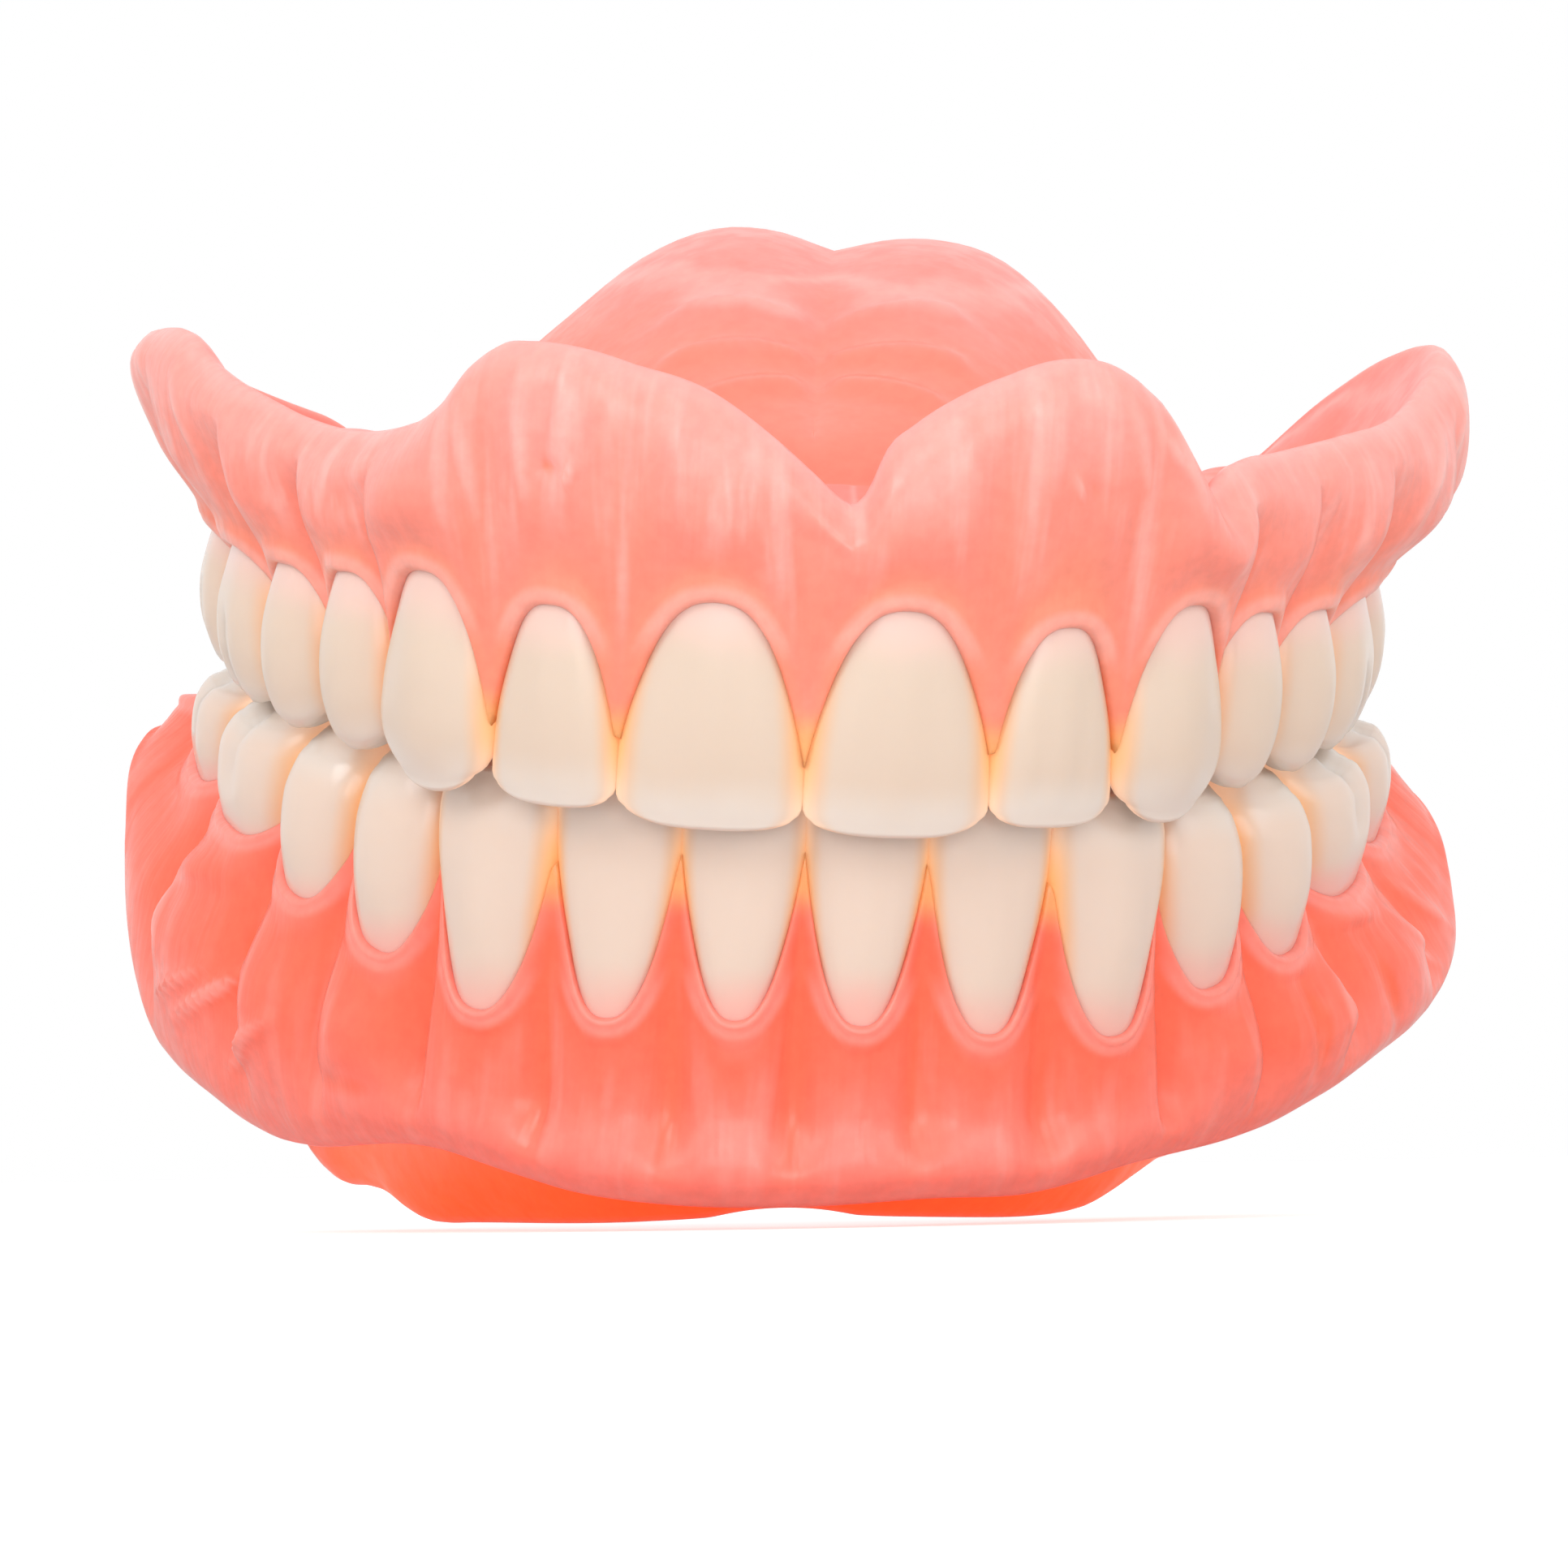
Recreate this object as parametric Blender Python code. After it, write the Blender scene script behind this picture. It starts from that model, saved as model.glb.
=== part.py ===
# Full denture: an upper and a lower acrylic base, each carrying fourteen separate acrylic teeth,
# closed on each other and standing on the lingual flanges of the lower base.
#
# Sizes are in millimetres and become metres where points are placed. The bite frame has X to the right
# of someone facing the denture, Y backwards and Z up from the biting edges of the upper central incisors.
# Places along a dental arch are counted in teeth from the midline: 0.5 is the middle of a central
# incisor, 1 the contact behind it, and 7 the far side of the second molar. Negative is the -X side.

import math

import bmesh
import bpy
import numpy as np
from mathutils import Matrix, Vector

MM = 0.001

# Driving dimensions of the whole.
ARCH_WIDTH = 60.8
ARCH_DEPTH = 40.5
LOWER_SETBACK = 2.2
TOOTH_GAP = 0.2
SOCKET_CLEARANCE = 0.25
ROOT_LENGTH = 2.0
PALATE_THICKNESS = 2.3
BORDER_THICKNESS = 2.5
RIDGE_WIDTH = 8.0
ROOT_BULGE = 0.35
REST_PITCH_DEG = 12.6
REST_ROLL_DEG = 3.4
FLANGE_LEVEL = -17.3

# Faceting of the solids.
FRONT_SIDES = 10
MOLAR_SIDES = 12

# Dental arches: the line of contact points from the midline back, as shares of the half width and the depth.
UPPER_ARCH = ((0.0, 0.0), (0.28, 0.025), (0.484, 0.096), (0.661, 0.227), (0.77, 0.38),
              (0.855, 0.538), (0.951, 0.775), (1.0, 1.0))
LOWER_ARCH = ((0.0, 0.0), (0.178, 0.01), (0.365, 0.059), (0.546, 0.158), (0.697, 0.286),
              (0.816, 0.435), (0.941, 0.686), (1.0, 0.93))

# Teeth from the midline back: name, width, crown height, height of the biting edge or cusp, and form.
UPPER_TEETH = (
    ("central_incisor", 8.7, 10.7, 0.0, "upper_incisor"),
    ("lateral_incisor", 6.8, 9.4, 0.5, "upper_incisor"),
    ("canine", 7.7, 10.3, 0.3, "canine"),
    ("first_premolar", 7.1, 8.8, 0.7, "premolar"),
    ("second_premolar", 6.9, 8.3, 0.8, "premolar"),
    ("first_molar", 10.1, 7.7, 1.1, "molar"),
    ("second_molar", 9.5, 7.2, 1.5, "molar"),
)
LOWER_TEETH = (
    ("central_incisor", 5.75, 10.6, 1.3, "lower_incisor"),
    ("lateral_incisor", 6.2, 11.0, 1.3, "lower_incisor"),
    ("canine", 7.0, 11.6, 1.5, "canine"),
    ("first_premolar", 7.2, 9.9, 1.4, "premolar"),
    ("second_premolar", 7.2, 9.2, 1.5, "premolar"),
    ("first_molar", 11.1, 7.5, 1.7, "molar"),
    ("second_molar", 10.2, 6.6, 2.0, "molar"),
)

# Each form's outline, against the share of the crown from its biting end (0) to the gum margin (1) and
# on into the base: half width as a share, facial and tongue side reach from the contact line in millimetres.
FORMS = {
    "upper_incisor": {
        "width": ((0.0, 0.84), (0.05, 0.95), (0.2, 1.0), (0.45, 0.98), (0.75, 0.87), (1.0, 0.72), (1.3, 0.6)),
        "facial": ((0.0, 0.75), (0.05, 1.0), (0.2, 1.3), (0.5, 1.55), (0.8, 1.45), (1.0, 1.2), (1.3, 0.6)),
        "tongue": ((0.0, 0.15), (0.05, -0.2), (0.2, -1.0), (0.5, -2.3), (0.8, -4.2), (1.0, -4.7), (1.3, -4.2)),
        "edge_rise": 0.5, "edge_power": 3.0, "squareness": 2.5,
    },
    "lower_incisor": {
        "width": ((0.0, 0.88), (0.05, 0.96), (0.2, 1.0), (0.45, 0.95), (0.75, 0.76), (1.0, 0.58), (1.3, 0.5)),
        "facial": ((0.0, 0.7), (0.05, 0.9), (0.2, 1.1), (0.5, 1.3), (0.8, 1.3), (1.0, 1.1), (1.3, 0.5)),
        "tongue": ((0.0, 0.0), (0.05, -0.3), (0.2, -0.9), (0.5, -2.2), (0.8, -3.8), (1.0, -4.3), (1.3, -3.9)),
        "edge_rise": 0.25, "edge_power": 3.0, "squareness": 2.5,
    },
    "canine": {
        "width": ((0.0, 0.66), (0.05, 0.86), (0.2, 1.0), (0.4, 1.0), (0.7, 0.89), (1.0, 0.70), (1.3, 0.56)),
        "facial": ((0.0, 0.9), (0.05, 1.2), (0.2, 1.75), (0.5, 2.1), (0.8, 1.9), (1.0, 1.6), (1.3, 0.9)),
        "tongue": ((0.0, 0.1), (0.05, -0.3), (0.2, -1.3), (0.5, -3.2), (0.8, -5.0), (1.0, -5.5), (1.3, -4.9)),
        "edge_rise": 1.1, "edge_power": 2.0, "squareness": 2.4,
    },
    "premolar": {
        "width": ((0.0, 0.78), (0.14, 0.95), (0.3, 1.0), (0.6, 0.93), (1.0, 0.70), (1.3, 0.6)),
        "facial": ((0.0, 0.3), (0.14, 1.0), (0.3, 1.5), (0.6, 1.8), (1.0, 1.2), (1.3, 0.5)),
        "tongue": ((0.0, -6.2), (0.14, -6.8), (0.3, -7.2), (0.6, -7.3), (1.0, -6.6), (1.3, -5.8)),
        "ridge_fall": 0.9, "groove_depth": 0.0, "squareness": 2.5,
    },
    "molar": {
        "width": ((0.0, 0.90), (0.14, 0.98), (0.3, 1.0), (0.6, 0.94), (1.0, 0.78), (1.3, 0.70)),
        "facial": ((0.0, 0.4), (0.14, 1.0), (0.3, 1.5), (0.6, 1.8), (1.0, 1.3), (1.3, 0.6)),
        "tongue": ((0.0, -7.6), (0.14, -8.3), (0.3, -8.8), (0.6, -8.9), (1.0, -8.2), (1.3, -7.4)),
        "ridge_fall": 0.4, "groove_depth": 0.6, "squareness": 2.9,
    },
}
FRONT_RINGS = (0.0, 0.05, 0.2, 0.45, 0.72, 1.0)
BACK_RINGS = (0.0, 0.14, 0.42, 0.75, 1.0)
TABLE_RINGS = (0.66, 0.33)

# Where back teeth bite, both jaws follow one wave across the arch, half a gap each side of it: heights
# against the reach out from the upper contact line, and the rise of the bite towards the back.
BITE_WAVE = ((-10.5, 0.9), (-8.6, 1.5), (-7.0, 1.1), (-5.6, 0.4), (-4.2, 1.1), (-2.8, 1.9), (-1.2, 1.4),
             (0.4, 0.75), (2.2, 0.9))
BITE_GAP = 0.35
BITE_RISE = ((3.0, 0.0), (5.0, 0.1), (6.0, 0.45), (7.0, 0.9))

# Upper base: heights over the bite plane and reaches out from the contact line, by place along the arch.
UPPER_STATIONS = (0.0, 0.12, 0.22, 0.36, 0.5, 0.75, 1.0, 1.25, 1.5, 1.75, 2.0, 2.25, 2.5, 2.75, 3.0, 3.5, 4.0,
                  4.5, 5.0, 5.33, 5.67, 6.0, 6.25, 6.5, 6.75, 7.0, 7.2, 7.4, 7.55, 7.65)
UPPER_BORDER_HEIGHT = (
    (-7.65, 13.8), (-7.4, 15.8), (-7.1, 17.8), (-6.7, 18.9), (-6.4, 18.5), (-6.1, 17.5), (-5.6, 16.6), (-5.0, 16.0),
    (-3.4, 16.5), (-2.6, 17.9), (-2.25, 20.2), (-1.9, 21.8), (-1.45, 22.3), (-1.0, 21.8), (-0.6, 20.7),
    (-0.25, 18.6), (0.0, 16.8), (0.12, 15.9), (0.2, 15.6), (0.26, 16.1), (0.36, 18.2), (0.5, 19.4), (0.75, 20.9),
    (1.1, 22.3), (1.55, 22.6), (2.0, 20.9), (2.45, 17.6), (2.75, 15.9), (3.2, 16.7), (4.6, 17.1), (5.6, 17.6),
    (6.2, 19.8), (6.7, 21.2), (7.1, 20.6), (7.4, 18.4), (7.65, 15.3),
)
UPPER_BORDER_REACH = ((0.0, 1.3), (1.0, 1.8), (2.5, 2.4), (3.3, 1.8), (4.5, 2.6), (5.5, 3.9), (6.4, 4.9),
                      (6.9, 4.1), (7.2, 2.4), (7.4, 0.4), (7.55, -1.9), (7.65, -4.0))
UPPER_FLANK_REACH = ((0.0, 1.5), (0.5, 2.1), (1.5, 2.1), (2.5, 3.0), (3.3, 1.8), (4.5, 2.3), (5.5, 3.0),
                     (6.4, 3.4), (7.0, 2.6), (7.2, 1.6), (7.4, -0.2), (7.65, -4.2))
UPPER_NECK_HEIGHT = ((0.0, 10.6), (0.5, 10.7), (1.5, 9.9), (2.5, 10.6), (3.5, 9.5), (4.5, 9.1), (5.5, 8.8),
                     (6.5, 8.7), (7.1, 9.6), (7.7, 11.6))
UPPER_PAPILLA_DROP = ((0.0, 5.4), (1.0, 4.9), (3.0, 4.6), (5.0, 3.8), (6.8, 3.2), (7.7, 1.2))
UPPER_TONGUE_NECK = ((0.0, 7.0), (3.0, 7.0), (5.0, 6.4), (6.8, 6.0), (7.7, 9.4))
UPPER_TROUGH_HEIGHT = ((0.0, 14.0), (1.0, 14.4), (2.5, 14.6), (3.5, 13.6), (5.0, 13.0), (6.8, 12.9), (7.7, 13.4))
UPPER_CREST_REACH = ((0.0, -3.4), (2.5, -3.2), (4.0, -3.4), (6.6, -3.8), (7.7, -7.6))
PALATE_RIM_HEIGHT = ((0.0, 15.5), (2.5, 15.6), (4.0, 14.6), (6.0, 13.4), (7.0, 12.8), (7.7, 12.6))
PALATE_SPINE_START = 13.0
PALATE_SPINE_END = 46.0
PALATE_HEIGHT = ((0.0, 17.6), (2.0, 20.6), (4.0, 24.4), (5.4, 25.8), (6.5, 25.6), (7.7, 24.2))
PALATE_PROFILE = ((0.22, 0.34, 0.41), (0.45, 0.64, 0.79), (0.65, 0.82, 0.97), (0.82, 0.93, 1.0), (1.0, 1.0, 0.96))

# Lower base, in the same way. Its tongue side flange ends level with the table that it stands on, but
# for a notch at the midline and its rise at the heels.
LOWER_STATIONS = (0.0, 0.5, 1.0, 1.5, 2.0, 2.5, 3.0, 3.5, 4.0, 4.5, 5.0, 5.25, 5.5, 5.75, 6.0, 6.25, 6.5,
                  6.75, 7.0, 7.25, 7.45, 7.65, 7.8)
LOWER_BORDER_HEIGHT = (
    (-7.8, -4.4), (-7.5, -5.6), (-7.1, -8.6), (-6.6, -13.9), (-6.1, -17.6), (-5.6, -19.0), (-5.0, -19.9),
    (-4.5, -19.6), (-2.9, -17.7), (-2.3, -18.0), (-1.7, -18.4), (-0.9, -18.5), (0.0, -18.3), (1.2, -17.7),
    (1.9, -17.7), (2.8, -16.9), (4.0, -16.6), (5.0, -15.3), (5.8, -13.6), (6.3, -11.8), (6.7, -9.7),
    (7.1, -6.6), (7.5, -4.8), (7.8, -4.0),
)
LOWER_BORDER_REACH = (
    (-7.8, -1.2), (-7.65, 1.0), (-7.4, 3.0), (-7.0, 4.6), (-6.5, 4.6), (-6.0, 4.2), (-5.5, 3.2), (-5.0, 1.8), (-4.0, 1.4),
    (-2.8, 1.6), (-1.5, 2.0), (0.0, 1.9), (1.5, 2.0), (2.8, 1.8), (3.8, 1.4), (4.6, 2.2), (5.2, 4.0),
    (6.0, 5.6), (6.7, 6.2), (7.1, 5.0), (7.4, 3.2), (7.65, 1.2), (7.8, -1.0),
)
LOWER_FLANK_REACH = (
    (-7.8, -1.4), (-7.65, 0.8), (-7.3, 3.4), (-6.8, 5.0), (-6.0, 4.6), (-5.0, 3.0), (-4.0, 2.2), (-2.8, 1.3), (-1.5, 1.0),
    (0.0, 0.9), (1.5, 1.0), (2.8, 1.3), (4.0, 2.2), (5.0, 3.6), (6.0, 5.2), (6.7, 6.0), (7.2, 4.4), (7.65, 1.0), (7.8, -1.2),
)
LOWER_NECK_HEIGHT = ((0.0, -9.2), (0.5, -9.3), (1.5, -9.7), (2.5, -10.1), (3.5, -8.5), (4.5, -7.7), (5.5, -5.8),
                     (6.5, -4.6), (7.2, -2.8), (7.8, -2.4))
LOWER_PAPILLA_RISE = ((0.0, 4.8), (2.0, 5.1), (3.5, 4.4), (5.0, 3.4), (7.0, 1.6), (7.8, 0.4))
LOWER_TROUGH_HEIGHT = ((0.0, -13.2), (2.5, -13.8), (3.5, -12.6), (4.5, -11.8), (5.5, -10.2), (6.5, -8.8),
                       (7.2, -6.4), (7.8, -3.8))
LOWER_CREST_REACH = ((0.0, -3.2), (2.5, -3.0), (5.0, -3.4), (7.0, -3.4), (7.8, -3.9))
LOWER_TONGUE_LIFT = (
    (-7.8, 24.0), (-7.6, 20.5), (-7.3, 13.5), (-7.0, 6.5), (-6.75, 3.4), (-6.5, 2.1), (-6.0, 0.4), (-5.6, 0.0),
    (-1.0, 0.0), (0.0, 0.6), (1.0, 0.0), (5.0, 0.0), (5.6, 0.3), (6.0, 0.8), (6.5, 2.2), (7.0, 6.0), (7.3, 11.0),
    (7.6, 17.5), (7.8, 21.0),
)
LOWER_TONGUE_REACH = (
    (-7.8, -6.6), (-7.3, -5.8), (-6.8, -7.2), (-6.2, -9.4), (-5.5, -11.2), (-4.5, -12.0), (-3.0, -11.0),
    (-1.5, -10.0), (0.0, -9.4), (1.5, -10.0), (3.0, -11.0), (4.5, -11.8), (5.5, -11.2), (6.2, -10.4),
    (6.8, -9.4), (7.3, -8.0), (7.8, -7.0),
)


def spline(points, at):
    """Smooth curve through (place, value) points, read at the places asked for."""
    x, y = np.array(points, float).T
    slope = np.gradient(y, x)
    at = np.clip(at, x[0], x[-1])
    i = np.clip(np.searchsorted(x, at, side="right") - 1, 0, len(x) - 2)
    span = x[i + 1] - x[i]
    t = (at - x[i]) / span
    return ((2 * t**3 - 3 * t**2 + 1) * y[i] + (t**3 - 2 * t**2 + t) * span * slope[i]
            + (3 * t**2 - 2 * t**3) * y[i + 1] + (t**3 - t**2) * span * slope[i + 1])


class Jaw:
    """One dental arch: where its teeth stand, and how a place along it becomes a point."""

    def __init__(self, name, teeth, arch, front):
        self.name = name
        self.teeth = teeth
        self.up = 1 if name == "upper" else -1
        contacts = [(share * ARCH_WIDTH / 2, front + depth * ARCH_DEPTH) for share, depth in arch]
        mirrored = [(-x, y) for x, y in reversed(contacts[1:])] + contacts
        order = np.arange(len(mirrored)) - len(contacts) + 1
        fine = np.linspace(order[0], order[-1], 2801)
        x = spline([(o, p[0]) for o, p in zip(order, mirrored)], fine)
        y = spline([(o, p[1]) for o, p in zip(order, mirrored)], fine)
        along = np.concatenate([[0], np.cumsum(np.hypot(np.diff(x), np.diff(y)))])
        self.along = along - along[-1] / 2
        self.x, self.y = x, y
        widths = [tooth[1] for tooth in teeth]
        self.ends = np.concatenate([[0], np.cumsum(widths)])

    def distance(self, place):
        """Arc length from the midline of a place counted in teeth."""
        beyond = max(abs(place) - len(self.teeth), 0)
        inside = np.interp(abs(place) - beyond, range(len(self.ends)), self.ends)
        return math.copysign(inside + beyond * self.teeth[-1][1], place)

    def point(self, distance, reach, height):
        """The point at an arc length, so far out from the contact line, at a height."""
        s = np.clip(distance, self.along[0], self.along[-1])
        x, y = np.interp(s, self.along, self.x), np.interp(s, self.along, self.y)
        step = 0.5
        ahead = np.clip(s + step, self.along[0], self.along[-1])
        behind = np.clip(s - step, self.along[0], self.along[-1])
        tx = np.interp(ahead, self.along, self.x) - np.interp(behind, self.along, self.x)
        ty = np.interp(ahead, self.along, self.y) - np.interp(behind, self.along, self.y)
        length = math.hypot(tx, ty)
        tx, ty = tx / length, ty / length
        past = distance - s
        return Vector((x + tx * past + ty * reach, y + ty * past - tx * reach, height))


UPPER = Jaw("upper", UPPER_TEETH, UPPER_ARCH, 1.0)
LOWER = Jaw("lower", LOWER_TEETH, LOWER_ARCH, 1.0 + LOWER_SETBACK)


def tooth_ring(form, width, sides, share, swell):
    """Places round a tooth at one share of its crown: across (distal is positive) and out from the arch."""
    half = spline(form["width"], share) * (width - TOOTH_GAP) / 2 + swell
    facial = spline(form["facial"], share) + swell
    tongue = spline(form["tongue"], share) - swell
    middle, reach = (facial + tongue) / 2, (facial - tongue) / 2
    power = 2 / form["squareness"]
    ring = []
    for k in range(sides):
        angle = 2 * math.pi * (k + 0.5) / sides
        across = math.copysign(abs(math.cos(angle)) ** power, math.cos(angle))
        out = math.copysign(abs(math.sin(angle)) ** power, math.sin(angle))
        ring.append((half * across, middle + reach * out, across, out))
    return ring


def edge_rise(form, share, across):
    """How far the biting edge curves back from its middle towards its corners."""
    fade = max(0.0, 1 - share / 0.45)
    corner = 1.35 if across > 0 else 0.75
    return form["edge_rise"] * corner * abs(across) ** form["edge_power"] * fade


def groove_fall(form, across):
    """How far the biting table lies back from the bite towards its ends and in the groove between cusps."""
    groove = form["groove_depth"] * (0.5 + 0.5 * math.cos(2 * math.pi * across)) ** 2
    return groove * (1 - across**2) + form["ridge_fall"] * across**2


def bite_height(jaw, distance, out):
    """Height of the wave that both jaws bite on, at a point of a tooth in either jaw."""
    point = jaw.point(distance, out, 0)
    near = int(np.argmin((UPPER.x - point.x) ** 2 + (UPPER.y - point.y) ** 2))
    ahead, behind = min(near + 5, len(UPPER.x) - 1), max(near - 5, 0)
    tx, ty = UPPER.x[ahead] - UPPER.x[behind], UPPER.y[ahead] - UPPER.y[behind]
    reach = ((point.x - UPPER.x[near]) * ty - (point.y - UPPER.y[near]) * tx) / math.hypot(tx, ty)
    place = np.interp(abs(UPPER.along[near]), UPPER.ends, range(len(UPPER.ends)))
    return float(spline(BITE_WAVE, reach) + spline(BITE_RISE, place))


def tooth_points(jaw, index, swell=0.0):
    """Rings of points of one tooth from its root end to its biting end: along, out and height."""
    _, width, height, tip, kind = jaw.teeth[index]
    form = FORMS[kind]
    front = "cisor" in kind or kind == "canine"
    sides = MOLAR_SIDES if kind == "molar" else FRONT_SIDES
    middle = (jaw.ends[index] + jaw.ends[index + 1]) / 2
    root = 1 + (ROOT_LENGTH + swell) / height
    rings = [(root, 1.0)] + [(share, 1.0) for share in reversed(FRONT_RINGS if front else BACK_RINGS)]
    if not front:
        rings += [(0.0, scale) for scale in TABLE_RINGS]
    points = []
    for share, scale in rings:
        ring = []
        for across, out, a, o in tooth_ring(form, width, sides, share, swell):
            if front:
                level = share * height + edge_rise(form, share, a)
                ring.append((middle + across, out, tip - jaw.up * swell * (share == 0) + jaw.up * level))
                continue
            centre = (spline(form["facial"], share) + spline(form["tongue"], share)) / 2
            across, out = across * scale, centre + (out - centre) * scale
            level = tip + jaw.up * share * height
            bite = bite_height(jaw, middle + across, out) + jaw.up * (BITE_GAP / 2 + groove_fall(form, a * scale))
            blend = max(0.0, 1 - share / 0.35)
            ring.append((middle + across, out, level + (bite - tip) * blend))
        points.append(ring)
    return points


def mesh_object(name, mesh_points, faces, material, collection):
    """A closed mesh object from points in the bite frame, in metres."""
    mesh = bpy.data.meshes.new(name)
    mesh.from_pydata([tuple(c * MM for c in p) for p in mesh_points], [], faces)
    bm = bmesh.new()
    bm.from_mesh(mesh)
    bmesh.ops.recalc_face_normals(bm, faces=bm.faces)
    bm.to_mesh(mesh)
    bm.free()
    mesh.shade_smooth()
    mesh.materials.append(material)
    obj = bpy.data.objects.new(name, mesh)
    collection.objects.link(obj)
    return obj


def loft(rings):
    """Vertices and faces of a tube through equal rings, closed by a flat face at each end."""
    sides = len(rings[0])
    points = [p for ring in rings for p in ring]
    faces = [tuple(range(sides)), tuple(range(len(points) - sides, len(points)))]
    for r in range(len(rings) - 1):
        for k in range(sides):
            a, b = r * sides + k, r * sides + (k + 1) % sides
            faces.append((a, b, b + sides, a + sides))
    return points, faces


def tooth(jaw, index, side, material, collection, swell=0.0, name=None):
    """One tooth, or with swell the cutter of its socket."""
    rings = [[jaw.point(side * s, out, z) for s, out, z in ring] for ring in tooth_points(jaw, index, swell)]
    points, faces = loft(rings)
    side_name = "right" if side < 0 else "left"
    label = name or f"{jaw.name}_{side_name}_{jaw.teeth[index][0]}"
    return mesh_object(label, points, faces, material, collection)


def mirrored(points, place):
    """A profile given for one side only, read on either side."""
    return float(spline(points, abs(place)))


def face_reach(jaw, place):
    """How far the teeth's faces stand out at the gum margin near a place."""
    rows = [(i + 0.5, spline(FORMS[t[4]]["facial"], 1.0)) for i, t in enumerate(jaw.teeth)]
    return float(spline(rows, min(max(abs(place), 0.5), len(rows) - 0.5)))


def tongue_reach(jaw, place):
    """How far the teeth's tongue sides stand in at the gum margin near a place."""
    rows = [(i + 0.5, spline(FORMS[t[4]]["tongue"], 1.0)) for i, t in enumerate(jaw.teeth)]
    return float(spline(rows, min(max(abs(place), 0.5), len(rows) - 0.5)))


def bulge(place):
    """1 over the middle of a tooth, where the gum swells over its root, and -1 at a contact."""
    return -math.cos(2 * math.pi * place) * min(1.0, max(0.0, 7.2 - abs(place)))


def table_height(point):
    """Height in the bite frame of the table that the pair stands on, under a point."""
    pitch, roll = math.radians(REST_PITCH_DEG), math.radians(REST_ROLL_DEG)
    level = (FLANGE_LEVEL + point.x * math.sin(roll)) / math.cos(roll)
    return (level - point.y * math.sin(pitch)) / math.cos(pitch)


def upper_section(place):
    """Two chains of points of the upper base at a place, each ending on the midline of the palate: one from
    the facial gum over the border, through the ridge trough and over the palate, one along its tongue side."""
    s = UPPER.distance(place)
    face, tongue = face_reach(UPPER, place), tongue_reach(UPPER, place)
    border_z = float(spline(UPPER_BORDER_HEIGHT, place))
    border = mirrored(UPPER_BORDER_REACH, place)
    flank = mirrored(UPPER_FLANK_REACH, place) + ROOT_BULGE * bulge(place)
    neck_z = mirrored(UPPER_NECK_HEIGHT, place)
    drop = mirrored(UPPER_PAPILLA_DROP, place)
    tongue_neck_z = mirrored(UPPER_TONGUE_NECK, place)
    crest = mirrored(UPPER_CREST_REACH, place)
    rim_z = mirrored(PALATE_RIM_HEIGHT, place)
    trough_z = min(mirrored(UPPER_TROUGH_HEIGHT, place), border_z - 1.2)
    spine_y = PALATE_SPINE_START + (PALATE_SPINE_END - PALATE_SPINE_START) * abs(place) / UPPER_STATIONS[-1]
    spine = Vector((0, spine_y, mirrored(PALATE_HEIGHT, place)))
    end = max(0.0, (abs(place) - 7.0) / (UPPER_STATIONS[-1] - 7.0))
    half, wall = RIDGE_WIDTH / 2 * (1 - 0.6 * end), BORDER_THICKNESS
    round_z = border_z - 0.5 * wall
    neck = face + 0.2 * bulge(place)
    face_end = border - 0.3

    def at(reach, height):
        return UPPER.point(s, reach, height)

    def toward_end(reach):
        return reach + (face_end - reach) * end

    tissue = [
        at(toward_end(face - 0.75), neck_z - drop),
        at(toward_end(face - 0.35), neck_z - 0.45 * drop),
        at(toward_end(neck + 0.1), neck_z + 0.3),
        at(flank, neck_z + 0.45 * (border_z - neck_z)),
        at(border, round_z),
        at(border - 0.5 * wall, border_z),
        at(border - wall, round_z),
        at(min(crest + 0.75 * half, border - wall - 0.3), trough_z + 0.35 * (round_z - trough_z)),
        at(crest, trough_z),
        at(crest - 0.8 * half, trough_z + 0.4 * (rim_z - trough_z)),
        at(crest - 1.3 * half, rim_z),
    ]
    under = [
        at(tongue + 0.4 + 0.6 * end, tongue_neck_z - 1.6 + end),
        at(tongue - 0.5, tongue_neck_z),
        at(tongue - 2.0, min(tongue_neck_z + 2.2, rim_z - PALATE_THICKNESS)),
    ]
    back = abs(place) / UPPER_STATIONS[-1]
    for chain, top in ((tissue, spine.z), (under, spine.z - PALATE_THICKNESS)):
        side = chain[-1].copy()
        for t, rise_front, rise_back in PALATE_PROFILE:
            p = side.lerp(spine, t)
            rise = rise_front + (rise_back - rise_front) * back
            chain.append(Vector((p.x, p.y, side.z + (top - side.z) * rise)))
    return tissue, under


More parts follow.
